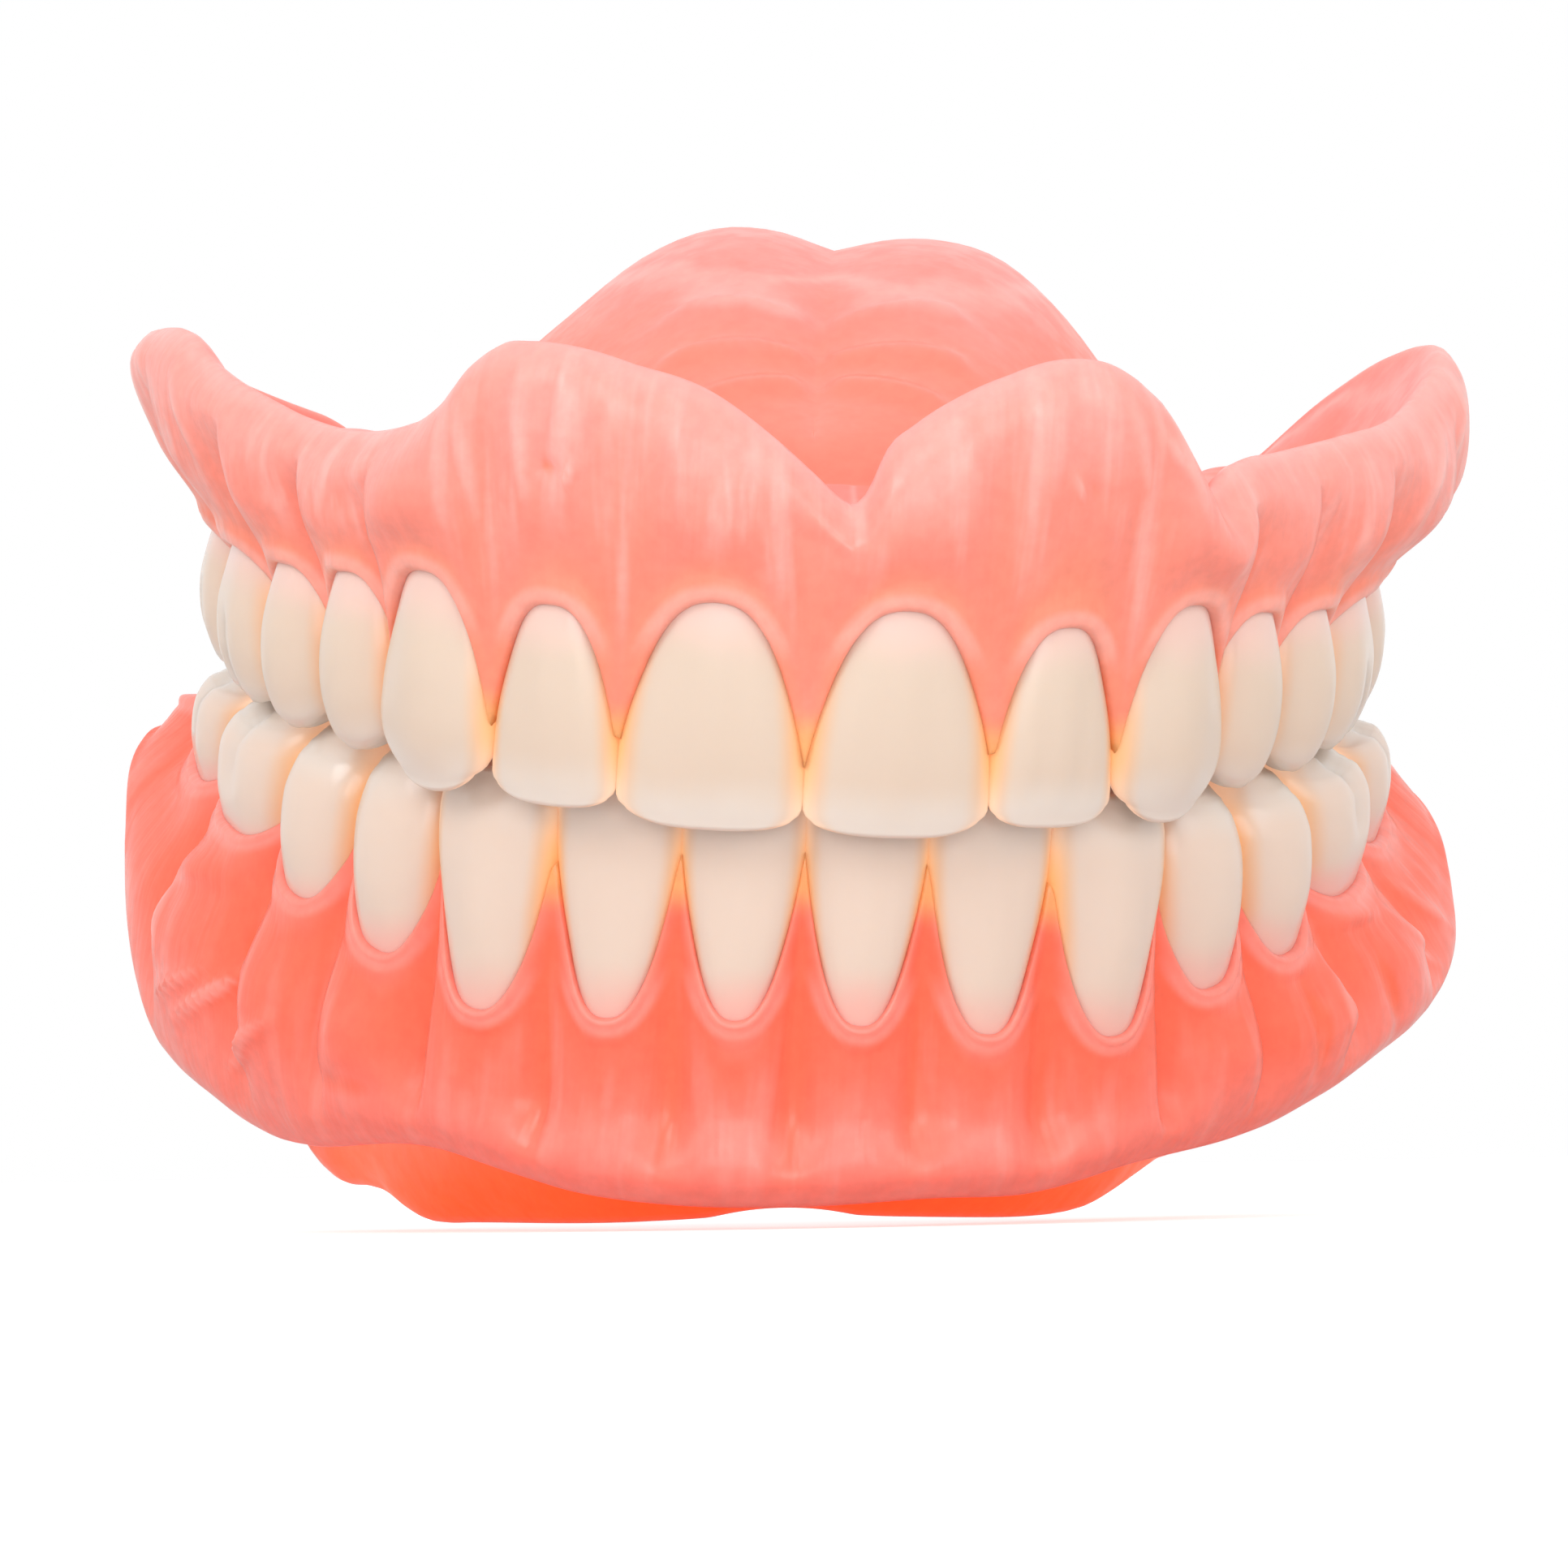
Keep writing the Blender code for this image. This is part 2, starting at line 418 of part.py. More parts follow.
def lower_section(place):
    """Points of the lower base at a place, round its saddle section."""
    s = LOWER.distance(place)
    end = max(0.0, (abs(place) - 7.0) / (LOWER_STATIONS[-1] - 7.0))
    border_z = float(spline(LOWER_BORDER_HEIGHT, place))
    border = float(spline(LOWER_BORDER_REACH, place))
    flank = float(spline(LOWER_FLANK_REACH, place)) + ROOT_BULGE * bulge(place)
    inner = float(spline(LOWER_TONGUE_REACH, place))
    wall = BORDER_THICKNESS * (1 - 0.45 * end)
    half = RIDGE_WIDTH / 2 * (1 - 0.8 * end)
    face = face_reach(LOWER, place) * (1 - end) + (border - 0.5) * end
    tongue = tongue_reach(LOWER, place) * (1 - end) + (inner + 1.0) * end
    inner_z = table_height(LOWER.point(s, inner + 0.5 * wall, 0)) + float(spline(LOWER_TONGUE_LIFT, place))
    neck_z = mirrored(LOWER_NECK_HEIGHT, place)
    rise = mirrored(LOWER_PAPILLA_RISE, place)
    crest = mirrored(LOWER_CREST_REACH, place)
    trough_z = max(mirrored(LOWER_TROUGH_HEIGHT, place), border_z + 0.6, inner_z + 0.6)
    trough_z = min(trough_z, neck_z - (ROOT_LENGTH + 1.2) * (1 - 0.6 * end))
    round_z, inner_round_z = border_z + 0.5 * wall, inner_z + 0.5 * wall
    neck = face + 0.2 * bulge(place)
    shape = [
        (face - 0.75, neck_z + rise),
        (face - 0.35, neck_z + 0.45 * rise),
        (neck + 0.1, neck_z - 0.3),
        (flank, neck_z + 0.5 * (border_z - neck_z)),
        (border, round_z),
        (border - 0.5 * wall, border_z),
        (border - wall, round_z),
        (crest + 0.75 * half, trough_z + 0.35 * (round_z - trough_z)),
        (crest, trough_z),
        (crest - 0.75 * half, trough_z + 0.3 * (inner_round_z - trough_z)),
        (inner + wall, inner_round_z),
        (inner + 0.5 * wall, inner_z),
        (inner, inner_round_z),
        (0.5 * (inner + tongue) - 0.3 * (1 - end), 0.5 * (inner_round_z + neck_z)),
        (tongue - 0.6 * (1 - end), neck_z + 0.6 * (1 - end)),
        (tongue + 0.4, neck_z + 0.8 * rise),
    ]
    return [LOWER.point(s, reach, height) for reach, height in shape]


def both_sides(places):
    """The places of one side, mirrored to run from one end of the arch to the other."""
    return [-place for place in reversed(places[1:])] + list(places)


def lower_base(material, collection):
    """The horseshoe base: a closed section carried round the arch."""
    points, faces = loft([lower_section(place) for place in both_sides(LOWER_STATIONS)])
    return mesh_object("lower_base", points, faces, material, collection)


def upper_base(material, collection):
    """The plate base: sections that fan out from the midline of the palate."""
    places = both_sides(UPPER_STATIONS)
    middle = len(places) // 2
    points, tissue_rows, under_rows = [], [], []
    spine = {}
    for i, place in enumerate(places):
        tissue, under = upper_section(place)
        row = []
        for p in tissue[:-1]:
            row.append(len(points))
            points.append(p)
        below = []
        for p in under[:-1]:
            below.append(len(points))
            points.append(p)
        rank = abs(i - middle)
        if rank not in spine:
            spine[rank] = (len(points), len(points) + 1)
            points += [tissue[-1], under[-1]]
        tissue_rows.append(row + [spine[rank][0]])
        under_rows.append(below + [spine[rank][1]])
    faces = []
    for i in range(len(places) - 1):
        for rows in (tissue_rows, under_rows):
            a, b = rows[i], rows[i + 1]
            faces += [(a[k], a[k + 1], b[k + 1], b[k]) for k in range(len(a) - 1)]
        faces.append((tissue_rows[i][0], under_rows[i][0], under_rows[i + 1][0], tissue_rows[i + 1][0]))
    plate = len(PALATE_PROFILE)
    for i in (0, len(places) - 1):
        a, b = tissue_rows[i][-plate - 1:], under_rows[i][-plate - 1:]
        faces.append(tuple(tissue_rows[i][:-plate] + under_rows[i][:-plate][::-1]))
        faces += [(a[k], a[k + 1], b[k + 1], b[k]) for k in range(len(a) - 1)]
    return mesh_object("upper_base", points, faces, material, collection)


def cut_sockets(base, jaw, material, cutters):
    """Takes a socket for each tooth out of the base, a clearance larger than the tooth."""
    for index in range(len(jaw.teeth)):
        for side in (-1, 1):
            name = f"socket_{jaw.name}_{'right' if side < 0 else 'left'}_{index + 1}"
            cutter = tooth(jaw, index, side, material, cutters, SOCKET_CLEARANCE, name)
            cutter.hide_render = True
            cutter.display_type = "WIRE"
            cut = base.modifiers.new(name, "BOOLEAN")
            cut.operation = "DIFFERENCE"
            cut.object = cutter


def principled(name, colour, roughness, subsurface):
    """A plastic that lets a little light in under its surface."""
    material = bpy.data.materials.new(name)
    material.use_nodes = True
    shader = material.node_tree.nodes["Principled BSDF"]
    shader.inputs["Base Color"].default_value = (*colour, 1.0)
    shader.inputs["Roughness"].default_value = roughness
    shader.inputs["Metallic"].default_value = 0.0
    shader.inputs["Subsurface Weight"].default_value = subsurface
    return material


def settle(objects, cutters):
    """Tips the closed pair into its resting pose and stands it on Z = 0, centred on the origin."""
    turn = Matrix.Rotation(math.radians(REST_ROLL_DEG), 4, "Y") @ Matrix.Rotation(math.radians(REST_PITCH_DEG), 4, "X")
    for obj in objects + cutters:
        obj.data.transform(turn)
    bpy.context.view_layer.update()
    graph = bpy.context.evaluated_depsgraph_get()
    corners = []
    for obj in objects:
        mesh = obj.evaluated_get(graph).data
        corners += [vertex.co.copy() for vertex in mesh.vertices]
    low = [min(c[k] for c in corners) for k in range(3)]
    high = [max(c[k] for c in corners) for k in range(3)]
    shift = Vector((-(low[0] + high[0]) / 2, -(low[1] + high[1]) / 2, -low[2]))
    for obj in objects + cutters:
        obj.data.transform(Matrix.Translation(shift))


def main():
    for obj in list(bpy.data.objects):
        bpy.data.objects.remove(obj, do_unlink=True)
    denture = bpy.data.collections.new("full_denture")
    cutters = bpy.data.collections.new("socket_cutters")
    bpy.context.scene.collection.children.link(denture)
    bpy.context.scene.collection.children.link(cutters)
    pink = principled("base_acrylic", (0.93, 0.40, 0.34), 0.3, 0.2)
    enamel = principled("tooth_acrylic", (0.93, 0.84, 0.72), 0.28, 0.15)
    solids = [upper_base(pink, denture), lower_base(pink, denture)]
    for jaw, base in ((UPPER, solids[0]), (LOWER, solids[1])):
        cut_sockets(base, jaw, pink, cutters)
        for index in range(len(jaw.teeth)):
            for side in (-1, 1):
                solids.append(tooth(jaw, index, side, enamel, denture))
    settle(solids, list(cutters.objects))


main()
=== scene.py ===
import math

import bpy
import numpy as np
from mathutils import Matrix, Vector


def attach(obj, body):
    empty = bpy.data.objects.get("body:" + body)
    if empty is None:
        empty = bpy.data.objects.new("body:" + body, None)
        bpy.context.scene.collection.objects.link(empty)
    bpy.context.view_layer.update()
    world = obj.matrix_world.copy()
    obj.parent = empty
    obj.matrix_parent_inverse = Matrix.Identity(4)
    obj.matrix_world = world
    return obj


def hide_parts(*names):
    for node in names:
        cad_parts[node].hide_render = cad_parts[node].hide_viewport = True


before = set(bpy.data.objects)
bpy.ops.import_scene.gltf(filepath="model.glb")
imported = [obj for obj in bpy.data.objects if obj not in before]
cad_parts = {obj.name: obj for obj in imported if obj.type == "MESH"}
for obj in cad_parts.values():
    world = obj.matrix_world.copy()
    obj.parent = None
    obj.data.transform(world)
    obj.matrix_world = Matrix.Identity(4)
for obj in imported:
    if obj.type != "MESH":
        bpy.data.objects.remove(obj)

print("frame loaded")
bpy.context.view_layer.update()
mm = 0.001
scene = bpy.context.scene

# The bite frame has X to the right of someone facing the denture, Y backwards and Z up from the biting
# edges of the upper central incisors, in millimetres. A place along an arch is counted in teeth from the
# midline: 0.5 is the middle of a central incisor and 7 the far side of the second molar.
rest = {"pitch": 12.6, "roll": 3.4, "shift": (-0.521, -23.601, 18.106)}

arches = {
    "upper": {
        "up": 1, "width": 60.8, "depth": 40.5, "front": 1, "aside": 0,
        "line": (
            (0, 0), (0.28, 0.025), (0.478, 0.1), (0.645, 0.235), (0.76, 0.385), (0.862, 0.542),
            (0.942, 0.775), (0.987, 1.01),
        ),
        "teeth": (
            ("central_incisor", 8.7, 10.7, 0, "upperIncisor"),
            ("lateral_incisor", 6.4, 9.4, 0.5, "upperIncisor"), ("canine", 7.7, 10.3, 0.3, "canine"),
            ("first_premolar", 7.1, 8.8, 0.7, "premolar"), ("second_premolar", 6.9, 8.3, 0.8, "premolar"),
            ("first_molar", 10.1, 7.7, 1.1, "molar"), ("second_molar", 9.5, 7.2, 1.5, "molar"),
        ),
    },
    "lower": {
        "up": -1, "width": 60.8, "depth": 40.5, "front": 3.2, "aside": 0.3,
        "line": (
            (0, 0), (0.178, 0.01), (0.365, 0.059), (0.546, 0.158), (0.697, 0.286), (0.816, 0.435),
            (0.941, 0.686), (1.0085, 0.965),
        ),
        "teeth": (
            ("central_incisor", 5.75, 10.6, 1.3, "lowerIncisor"),
            ("lateral_incisor", 6.2, 11, 1.3, "lowerIncisor"), ("canine", 7, 11.6, 1.5, "lowerCanine"),
            ("first_premolar", 7.2, 9.9, 1.4, "premolar"), ("second_premolar", 7.2, 9.2, 1.5, "premolar"),
            ("first_molar", 11.1, 7.5, 1.7, "molar"), ("second_molar", 10.2, 6.6, 2, "molar"),
        ),
    },
}

# Half width as a share, and how far the facial and tongue sides stand from the contact line, against the
# share of the crown from its biting end (0) to the gum margin (1).
toothForms = {
    "upperIncisor": {
        "width": (
            (0, 0.88), (0.03, 0.955), (0.1, 0.995), (0.2, 1), (0.38, 0.99), (0.5, 0.96), (0.75, 0.85),
            (1, 0.69), (1.3, 0.56),
        ),
        "facial": ((0, 0.92), (0.05, 1.03), (0.2, 1.28), (0.5, 1.55), (0.8, 1.48), (1, 1.25), (1.3, 0.6)),
        "tongue": ((0, 0.15), (0.05, -0.2), (0.2, -1), (0.5, -2.3), (0.8, -4.2), (1, -4.7), (1.3, -4.2)),
        "edgeRise": 0.42, "edgePower": 3.4, "squareness": 2.5, "taper": 0.16, "edgeRound": 0.32,
        "furrows": ((0.3, 0.16, -0.09), (-0.28, 0.16, -0.09), (0, 0.2, 0.045)),
    },
    "lowerIncisor": {
        "width": (
            (0, 0.96), (0.03, 0.995), (0.1, 1), (0.32, 1), (0.5, 0.93), (0.7, 0.81), (0.85, 0.71), (1, 0.59),
            (1.3, 0.46),
        ),
        "facial": ((0, 0.82), (0.05, 0.9), (0.2, 1.1), (0.5, 1.3), (0.8, 1.3), (1, 1.1), (1.3, 0.5)),
        "tongue": ((0, 0), (0.05, -0.3), (0.2, -0.9), (0.5, -2.2), (0.8, -3.8), (1, -4.3), (1.3, -3.9)),
        "edgeRise": 0.12, "edgePower": 3, "squareness": 2.5, "taper": 0.14, "edgeRound": 0.3,
        "furrows": ((0.3, 0.16, -0.05), (-0.28, 0.16, -0.05), (0, 0.2, 0.025)),
    },
    "canine": {
        "width": (
            (0, 0.74), (0.04, 0.86), (0.1, 0.94), (0.22, 1), (0.5, 0.99), (0.75, 0.9), (1, 0.74), (1.3, 0.56),
        ),
        "facial": ((0, 1), (0.05, 1.2), (0.2, 1.7), (0.5, 2.1), (0.8, 1.9), (1, 1.6), (1.3, 0.9)),
        "tongue": ((0, 0.1), (0.05, -0.3), (0.2, -1.3), (0.5, -3.2), (0.8, -5), (1, -5.5), (1.3, -4.9)),
        "edgeRise": 1.15, "edgePower": 2.2, "squareness": 2.4, "taper": 0.18, "edgeRound": 0.3,
        "furrows": ((-0.05, 0.3, 0.16), (0.5, 0.2, -0.1), (-0.55, 0.2, -0.08)),
    },
    "lowerCanine": {
        "width": (
            (0, 0.86), (0.04, 0.94), (0.1, 0.99), (0.2, 1), (0.4, 0.98), (0.55, 0.91), (0.75, 0.82),
            (1, 0.66), (1.3, 0.5),
        ),
        "facial": ((0, 0.9), (0.05, 1.1), (0.2, 1.6), (0.5, 2), (0.8, 1.9), (1, 1.6), (1.3, 0.9)),
        "tongue": ((0, 0.1), (0.05, -0.3), (0.2, -1.3), (0.5, -3.2), (0.8, -5), (1, -5.5), (1.3, -4.9)),
        "edgeRise": 0.6, "edgePower": 2.2, "squareness": 2.4, "taper": 0.16, "edgeRound": 0.3,
        "furrows": ((-0.05, 0.3, 0.16), (0.5, 0.2, -0.1), (-0.55, 0.2, -0.08)),
    },
    "premolar": {
        "width": ((0, 0.78), (0.14, 0.95), (0.3, 1), (0.55, 0.98), (0.8, 0.88), (1, 0.76), (1.3, 0.6)),
        "facial": ((0, 0.3), (0.14, 1), (0.3, 1.5), (0.6, 1.8), (1, 1.2), (1.3, 0.5)),
        "tongue": ((0, -6.2), (0.14, -6.8), (0.3, -7.2), (0.6, -7.3), (1, -6.6), (1.3, -5.8)),
        "ridgeFall": 0.9, "grooveDepth": 0, "squareness": 2.5, "taper": 0.12,
        "furrows": ((0, 0.3, 0.14), (0.55, 0.2, -0.08), (-0.55, 0.2, -0.08)),
    },
    "molar": {
        "width": ((0, 0.9), (0.14, 0.98), (0.3, 1), (0.6, 0.94), (1, 0.78), (1.3, 0.7)),
        "facial": ((0, 0.4), (0.14, 1), (0.3, 1.5), (0.6, 1.8), (1, 1.3), (1.3, 0.6)),
        "tongue": ((0, -7.6), (0.14, -8.3), (0.3, -8.8), (0.6, -8.9), (1, -8.2), (1.3, -7.4)),
        "ridgeFall": 0.4, "grooveDepth": 0.6, "squareness": 2.9, "taper": 0.08,
        "furrows": ((0.45, 0.22, 0.08), (-0.45, 0.22, 0.08)), "groove": (0.02, 0.13, -0.32),
    },
}

# Both jaws' back teeth bite on one wave: height against reach from the upper contact line, and its rise.
bite = {
    "wave": (
        (-10.5, 0.9), (-8.6, 1.5), (-7, 1.1), (-5.6, 0.4), (-4.2, 1.1), (-2.8, 1.9), (-1.2, 1.4), (0.4, 0.75),
        (2.2, 0.9),
    ),
    "rise": ((3, 0), (5, 0.1), (6, 0.45), (7, 0.9)), "gap": 0.2,
}


def curveAt(points, at):
    x, y = np.array(points, float).T
    slope = np.gradient(y, x)
    at = np.clip(np.asarray(at, float), x[0], x[-1])
    i = np.clip(np.searchsorted(x, at, side="right") - 1, 0, len(x) - 2)
    span = x[i + 1] - x[i]
    t = (at - x[i]) / span
    return ((2 * t**3 - 3 * t**2 + 1) * y[i] + (t**3 - 2 * t**2 + t) * span * slope[i]
            + (3 * t**2 - 2 * t**3) * y[i + 1] + (t**3 - t**2) * span * slope[i + 1])


def ease(low, high, at):
    t = np.clip((np.asarray(at, float) - low) / (high - low), 0, 1)
    return t * t * (3 - 2 * t)


def bell(at, middle, spread):
    return np.exp(-((np.asarray(at, float) - middle) / spread) ** 2)


def readyArch(name):
    jaw = dict(arches[name], name=name)
    contacts = [(x * jaw["width"] / 2, jaw["front"] + y * jaw["depth"]) for x, y in jaw["line"]]
    both = [(-x, y) for x, y in reversed(contacts[1:])] + contacts
    order = np.arange(len(both)) - len(contacts) + 1
    fine = np.linspace(order[0], order[-1], 2801)
    jaw["x"] = jaw["aside"] + curveAt([(o, p[0]) for o, p in zip(order, both)], fine)
    jaw["y"] = curveAt([(o, p[1]) for o, p in zip(order, both)], fine)
    along = np.concatenate([[0], np.cumsum(np.hypot(np.diff(jaw["x"]), np.diff(jaw["y"])))])
    jaw["along"] = along - along[-1] / 2
    jaw["ends"] = np.concatenate([[0], np.cumsum([tooth[1] for tooth in jaw["teeth"]])])
    return jaw


def distanceAlong(jaw, place):
    beyond = np.maximum(np.abs(place) - 7, 0)
    inside = np.interp(np.abs(place) - beyond, range(8), jaw["ends"])
    return np.sign(place) * (inside + beyond * jaw["teeth"][-1][1])


def archPoint(jaw, distance, reach, height):
    along = jaw["along"]
    distance, reach, height = np.broadcast_arrays(*(np.asarray(v, float) for v in (distance, reach, height)))
    s = np.clip(distance, along[0], along[-1])
    ahead, behind = np.clip(s + 0.5, along[0], along[-1]), np.clip(s - 0.5, along[0], along[-1])
    tx = np.interp(ahead, along, jaw["x"]) - np.interp(behind, along, jaw["x"])
    ty = np.interp(ahead, along, jaw["y"]) - np.interp(behind, along, jaw["y"])
    length = np.hypot(tx, ty)
    tx, ty, past = tx / length, ty / length, distance - s
    return np.stack([np.interp(s, along, jaw["x"]) + tx * past + ty * reach,
                     np.interp(s, along, jaw["y"]) + ty * past - tx * reach, height], -1)


jaws = {name: readyArch(name) for name in arches}
restTurn = (Matrix.Rotation(math.radians(rest["roll"]), 4, "Y")
            @ Matrix.Rotation(math.radians(rest["pitch"]), 4, "X"))
restPlace = Matrix.Translation(Vector(rest["shift"]) * mm) @ restTurn


def nothingSelected():
    if bpy.context.object and bpy.context.object.mode != "OBJECT":
        bpy.ops.object.mode_set(mode="OBJECT")
    bpy.ops.object.select_all(action="DESELECT")


def shapePiece(piece, points, masks):
    # moves the primitive's vertices to their places, keeps what its material reads, and closes its seams
    turn, shift = np.array(restTurn.to_3x3()), np.array(rest["shift"])
    piece.matrix_world = Matrix.Identity(4)
    piece.data.vertices.foreach_set("co", ((points @ turn.T + shift) * mm).ravel())
    for name, values in masks.items():
        kept = piece.data.attributes.new(name, "FLOAT", "POINT")
        kept.data.foreach_set("value", np.asarray(values, float).ravel())
    piece.data.update()
    bpy.ops.object.mode_set(mode="EDIT")
    bpy.ops.mesh.select_all(action="SELECT")
    bpy.ops.mesh.remove_doubles(threshold=2e-6)
    bpy.ops.mesh.normals_make_consistent(inside=False)
    bpy.ops.object.mode_set(mode="OBJECT")
    bpy.ops.object.shade_smooth()
    while piece.data.uv_layers:
        piece.data.uv_layers.remove(piece.data.uv_layers[0])


# how finely the crowns are drawn, which shares of their length are biting end and root, and where their
# corners, rims and furrows fade
teeth = {
    "round": 60, "rings": 50, "rootLength": 2, "contactOverlap": 0.15, "capShare": 0.2, "tableShare": 0.34,
    "rootShare": 0.06, "farCorner": 1.35, "nearCorner": 0.75, "edgeFade": 0.45, "roundFade": 0.3,
    "rimHeight": 0.3, "rimAcross": (0.75, 1), "rimFade": (0, 0.12), "tableFade": 0.35, "rootDome": 0.4,
    "tongueTaper": (0.3, -1), "detailRound": (0, 0.7), "detailFrom": (0.02, 0.2), "detailTo": (0.6, 0.95),
    "grooveFrom": (0, 0.1), "grooveTo": (0.45, 0.75),
}


def outline(form, width, share):
    half = curveAt(form["width"], share) * (width + teeth["contactOverlap"]) / 2
    facial, tongue = curveAt(form["facial"], share), curveAt(form["tongue"], share)
    return half, (facial + tongue) / 2, (facial - tongue) / 2


def nearestUpper(points):
    # place along the upper arch and reach out from its contact line of points of either jaw
    jaw = jaws["upper"]
    x, y = jaw["x"][::4], jaw["y"][::4]
    near = np.argmin((x[None] - points[:, :1]) ** 2 + (y[None] - points[:, 1:2]) ** 2, axis=1)
    near = np.clip(near, 2, len(x) - 3)
    tx, ty = x[near + 2] - x[near - 2], y[near + 2] - y[near - 2]
    reach = ((points[:, 0] - x[near]) * ty - (points[:, 1] - y[near]) * tx) / np.hypot(tx, ty)
    place = np.interp(np.abs(jaw["along"][::4][near]), jaw["ends"], range(8))
    return place, reach


def faceDetail(form, a, share):
    # shallow furrows and ridges of the facial side, in millimetres: (place across, width, height)
    body = ease(*teeth["detailFrom"], share) * (1 - ease(*teeth["detailTo"], share))
    detail = body * sum(tall * bell(a, middle, wide) for middle, wide, tall in form["furrows"])
    if "groove" in form:
        middle, wide, tall = form["groove"]
        length = ease(*teeth["grooveFrom"], share) * (1 - ease(*teeth["grooveTo"], share))
        detail = detail + length * tall * bell(a, middle, wide)
    return detail


def placesOf(piece):
    places = np.empty(len(piece.data.vertices) * 3)
    piece.data.vertices.foreach_get("co", places)
    return places.reshape(-1, 3)


def makeTooth(jaw, index, side):
    name, width, height, tip, kind = jaw["teeth"][index]
    form, up = toothForms[kind], jaw["up"]
    front = "edgeRise" in form
    nothingSelected()
    bpy.ops.mesh.primitive_uv_sphere_add(segments=teeth["round"], ring_count=teeth["rings"], radius=1)
    piece = bpy.context.object
    piece.name = f"{jaw['name']}{'Right' if side < 0 else 'Left'}{name.title().replace('_', '')}"
    ball = placesOf(piece)
    turn = np.arctan2(ball[:, 1], ball[:, 0])
    down = np.arccos(np.clip(ball[:, 2], -1, 1)) / math.pi
    cap = teeth["capShare"] if front else teeth["tableShare"]
    rootAt = 1 + teeth["rootLength"] / height
    share = np.interp(down, (0, cap, 1 - teeth["rootShare"], 1), (0, 0, rootAt, rootAt))
    inCap = np.clip(down / cap, 0, 1)
    scale = np.sin(inCap * math.pi / 2) if front else inCap
    inRoot = np.clip((down - 1 + teeth["rootShare"]) / teeth["rootShare"], 0, 1)
    scale = np.where(inRoot > 0, np.cos(inRoot * math.pi / 2), scale)
    half, middle, deep = outline(form, width, share)
    power = 2 / form["squareness"]
    a = np.sign(np.cos(turn)) * np.abs(np.cos(turn)) ** power
    o = np.sign(np.sin(turn)) * np.abs(np.sin(turn)) ** power
    across = half * a * scale * (1 - form["taper"] * ease(*teeth["tongueTaper"], o))
    out = middle + deep * o * scale
    out = out + faceDetail(form, a, share) * ease(*teeth["detailRound"], o) * scale
    middleAt = (jaw["ends"][index] + jaw["ends"][index + 1]) / 2
    if front:
        corner = np.where(a > 0, teeth["farCorner"], teeth["nearCorner"])
        edge = form["edgeRise"] * corner * np.abs(a * scale) ** form["edgePower"]
        edge = edge * np.maximum(0, 1 - share / teeth["edgeFade"])
        rounded = form["edgeRound"] * (1 - np.cos(inCap * math.pi / 2))
        rounded = rounded * np.maximum(0, 1 - share / teeth["roundFade"])
        level = tip + up * (share * height + edge + rounded)
    else:
        place, reach = nearestUpper(archPoint(jaw, side * (middleAt + across), out, 0))
        groove = form["grooveDepth"] * (0.5 + 0.5 * np.cos(2 * math.pi * a * scale)) ** 2
        fall = groove * (1 - (a * scale) ** 2) + form["ridgeFall"] * (a * scale) ** 2
        table = curveAt(bite["wave"], reach) + curveAt(bite["rise"], place) + up * (bite["gap"] / 2 + fall)
        rim = teeth["rimHeight"] * ease(*teeth["rimAcross"], scale) * (1 - ease(*teeth["rimFade"], share))
        blend = np.maximum(0, 1 - share / teeth["tableFade"])
        level = tip + up * share * height + (table - tip) * blend + up * rim
    level = level + up * teeth["rootDome"] * np.sin(inRoot * math.pi / 2)
    points = archPoint(jaw, side * (middleAt + across), out, level)
    shapePiece(piece, points, {"crownShare": share, "crownSide": np.abs(a)})
    return piece


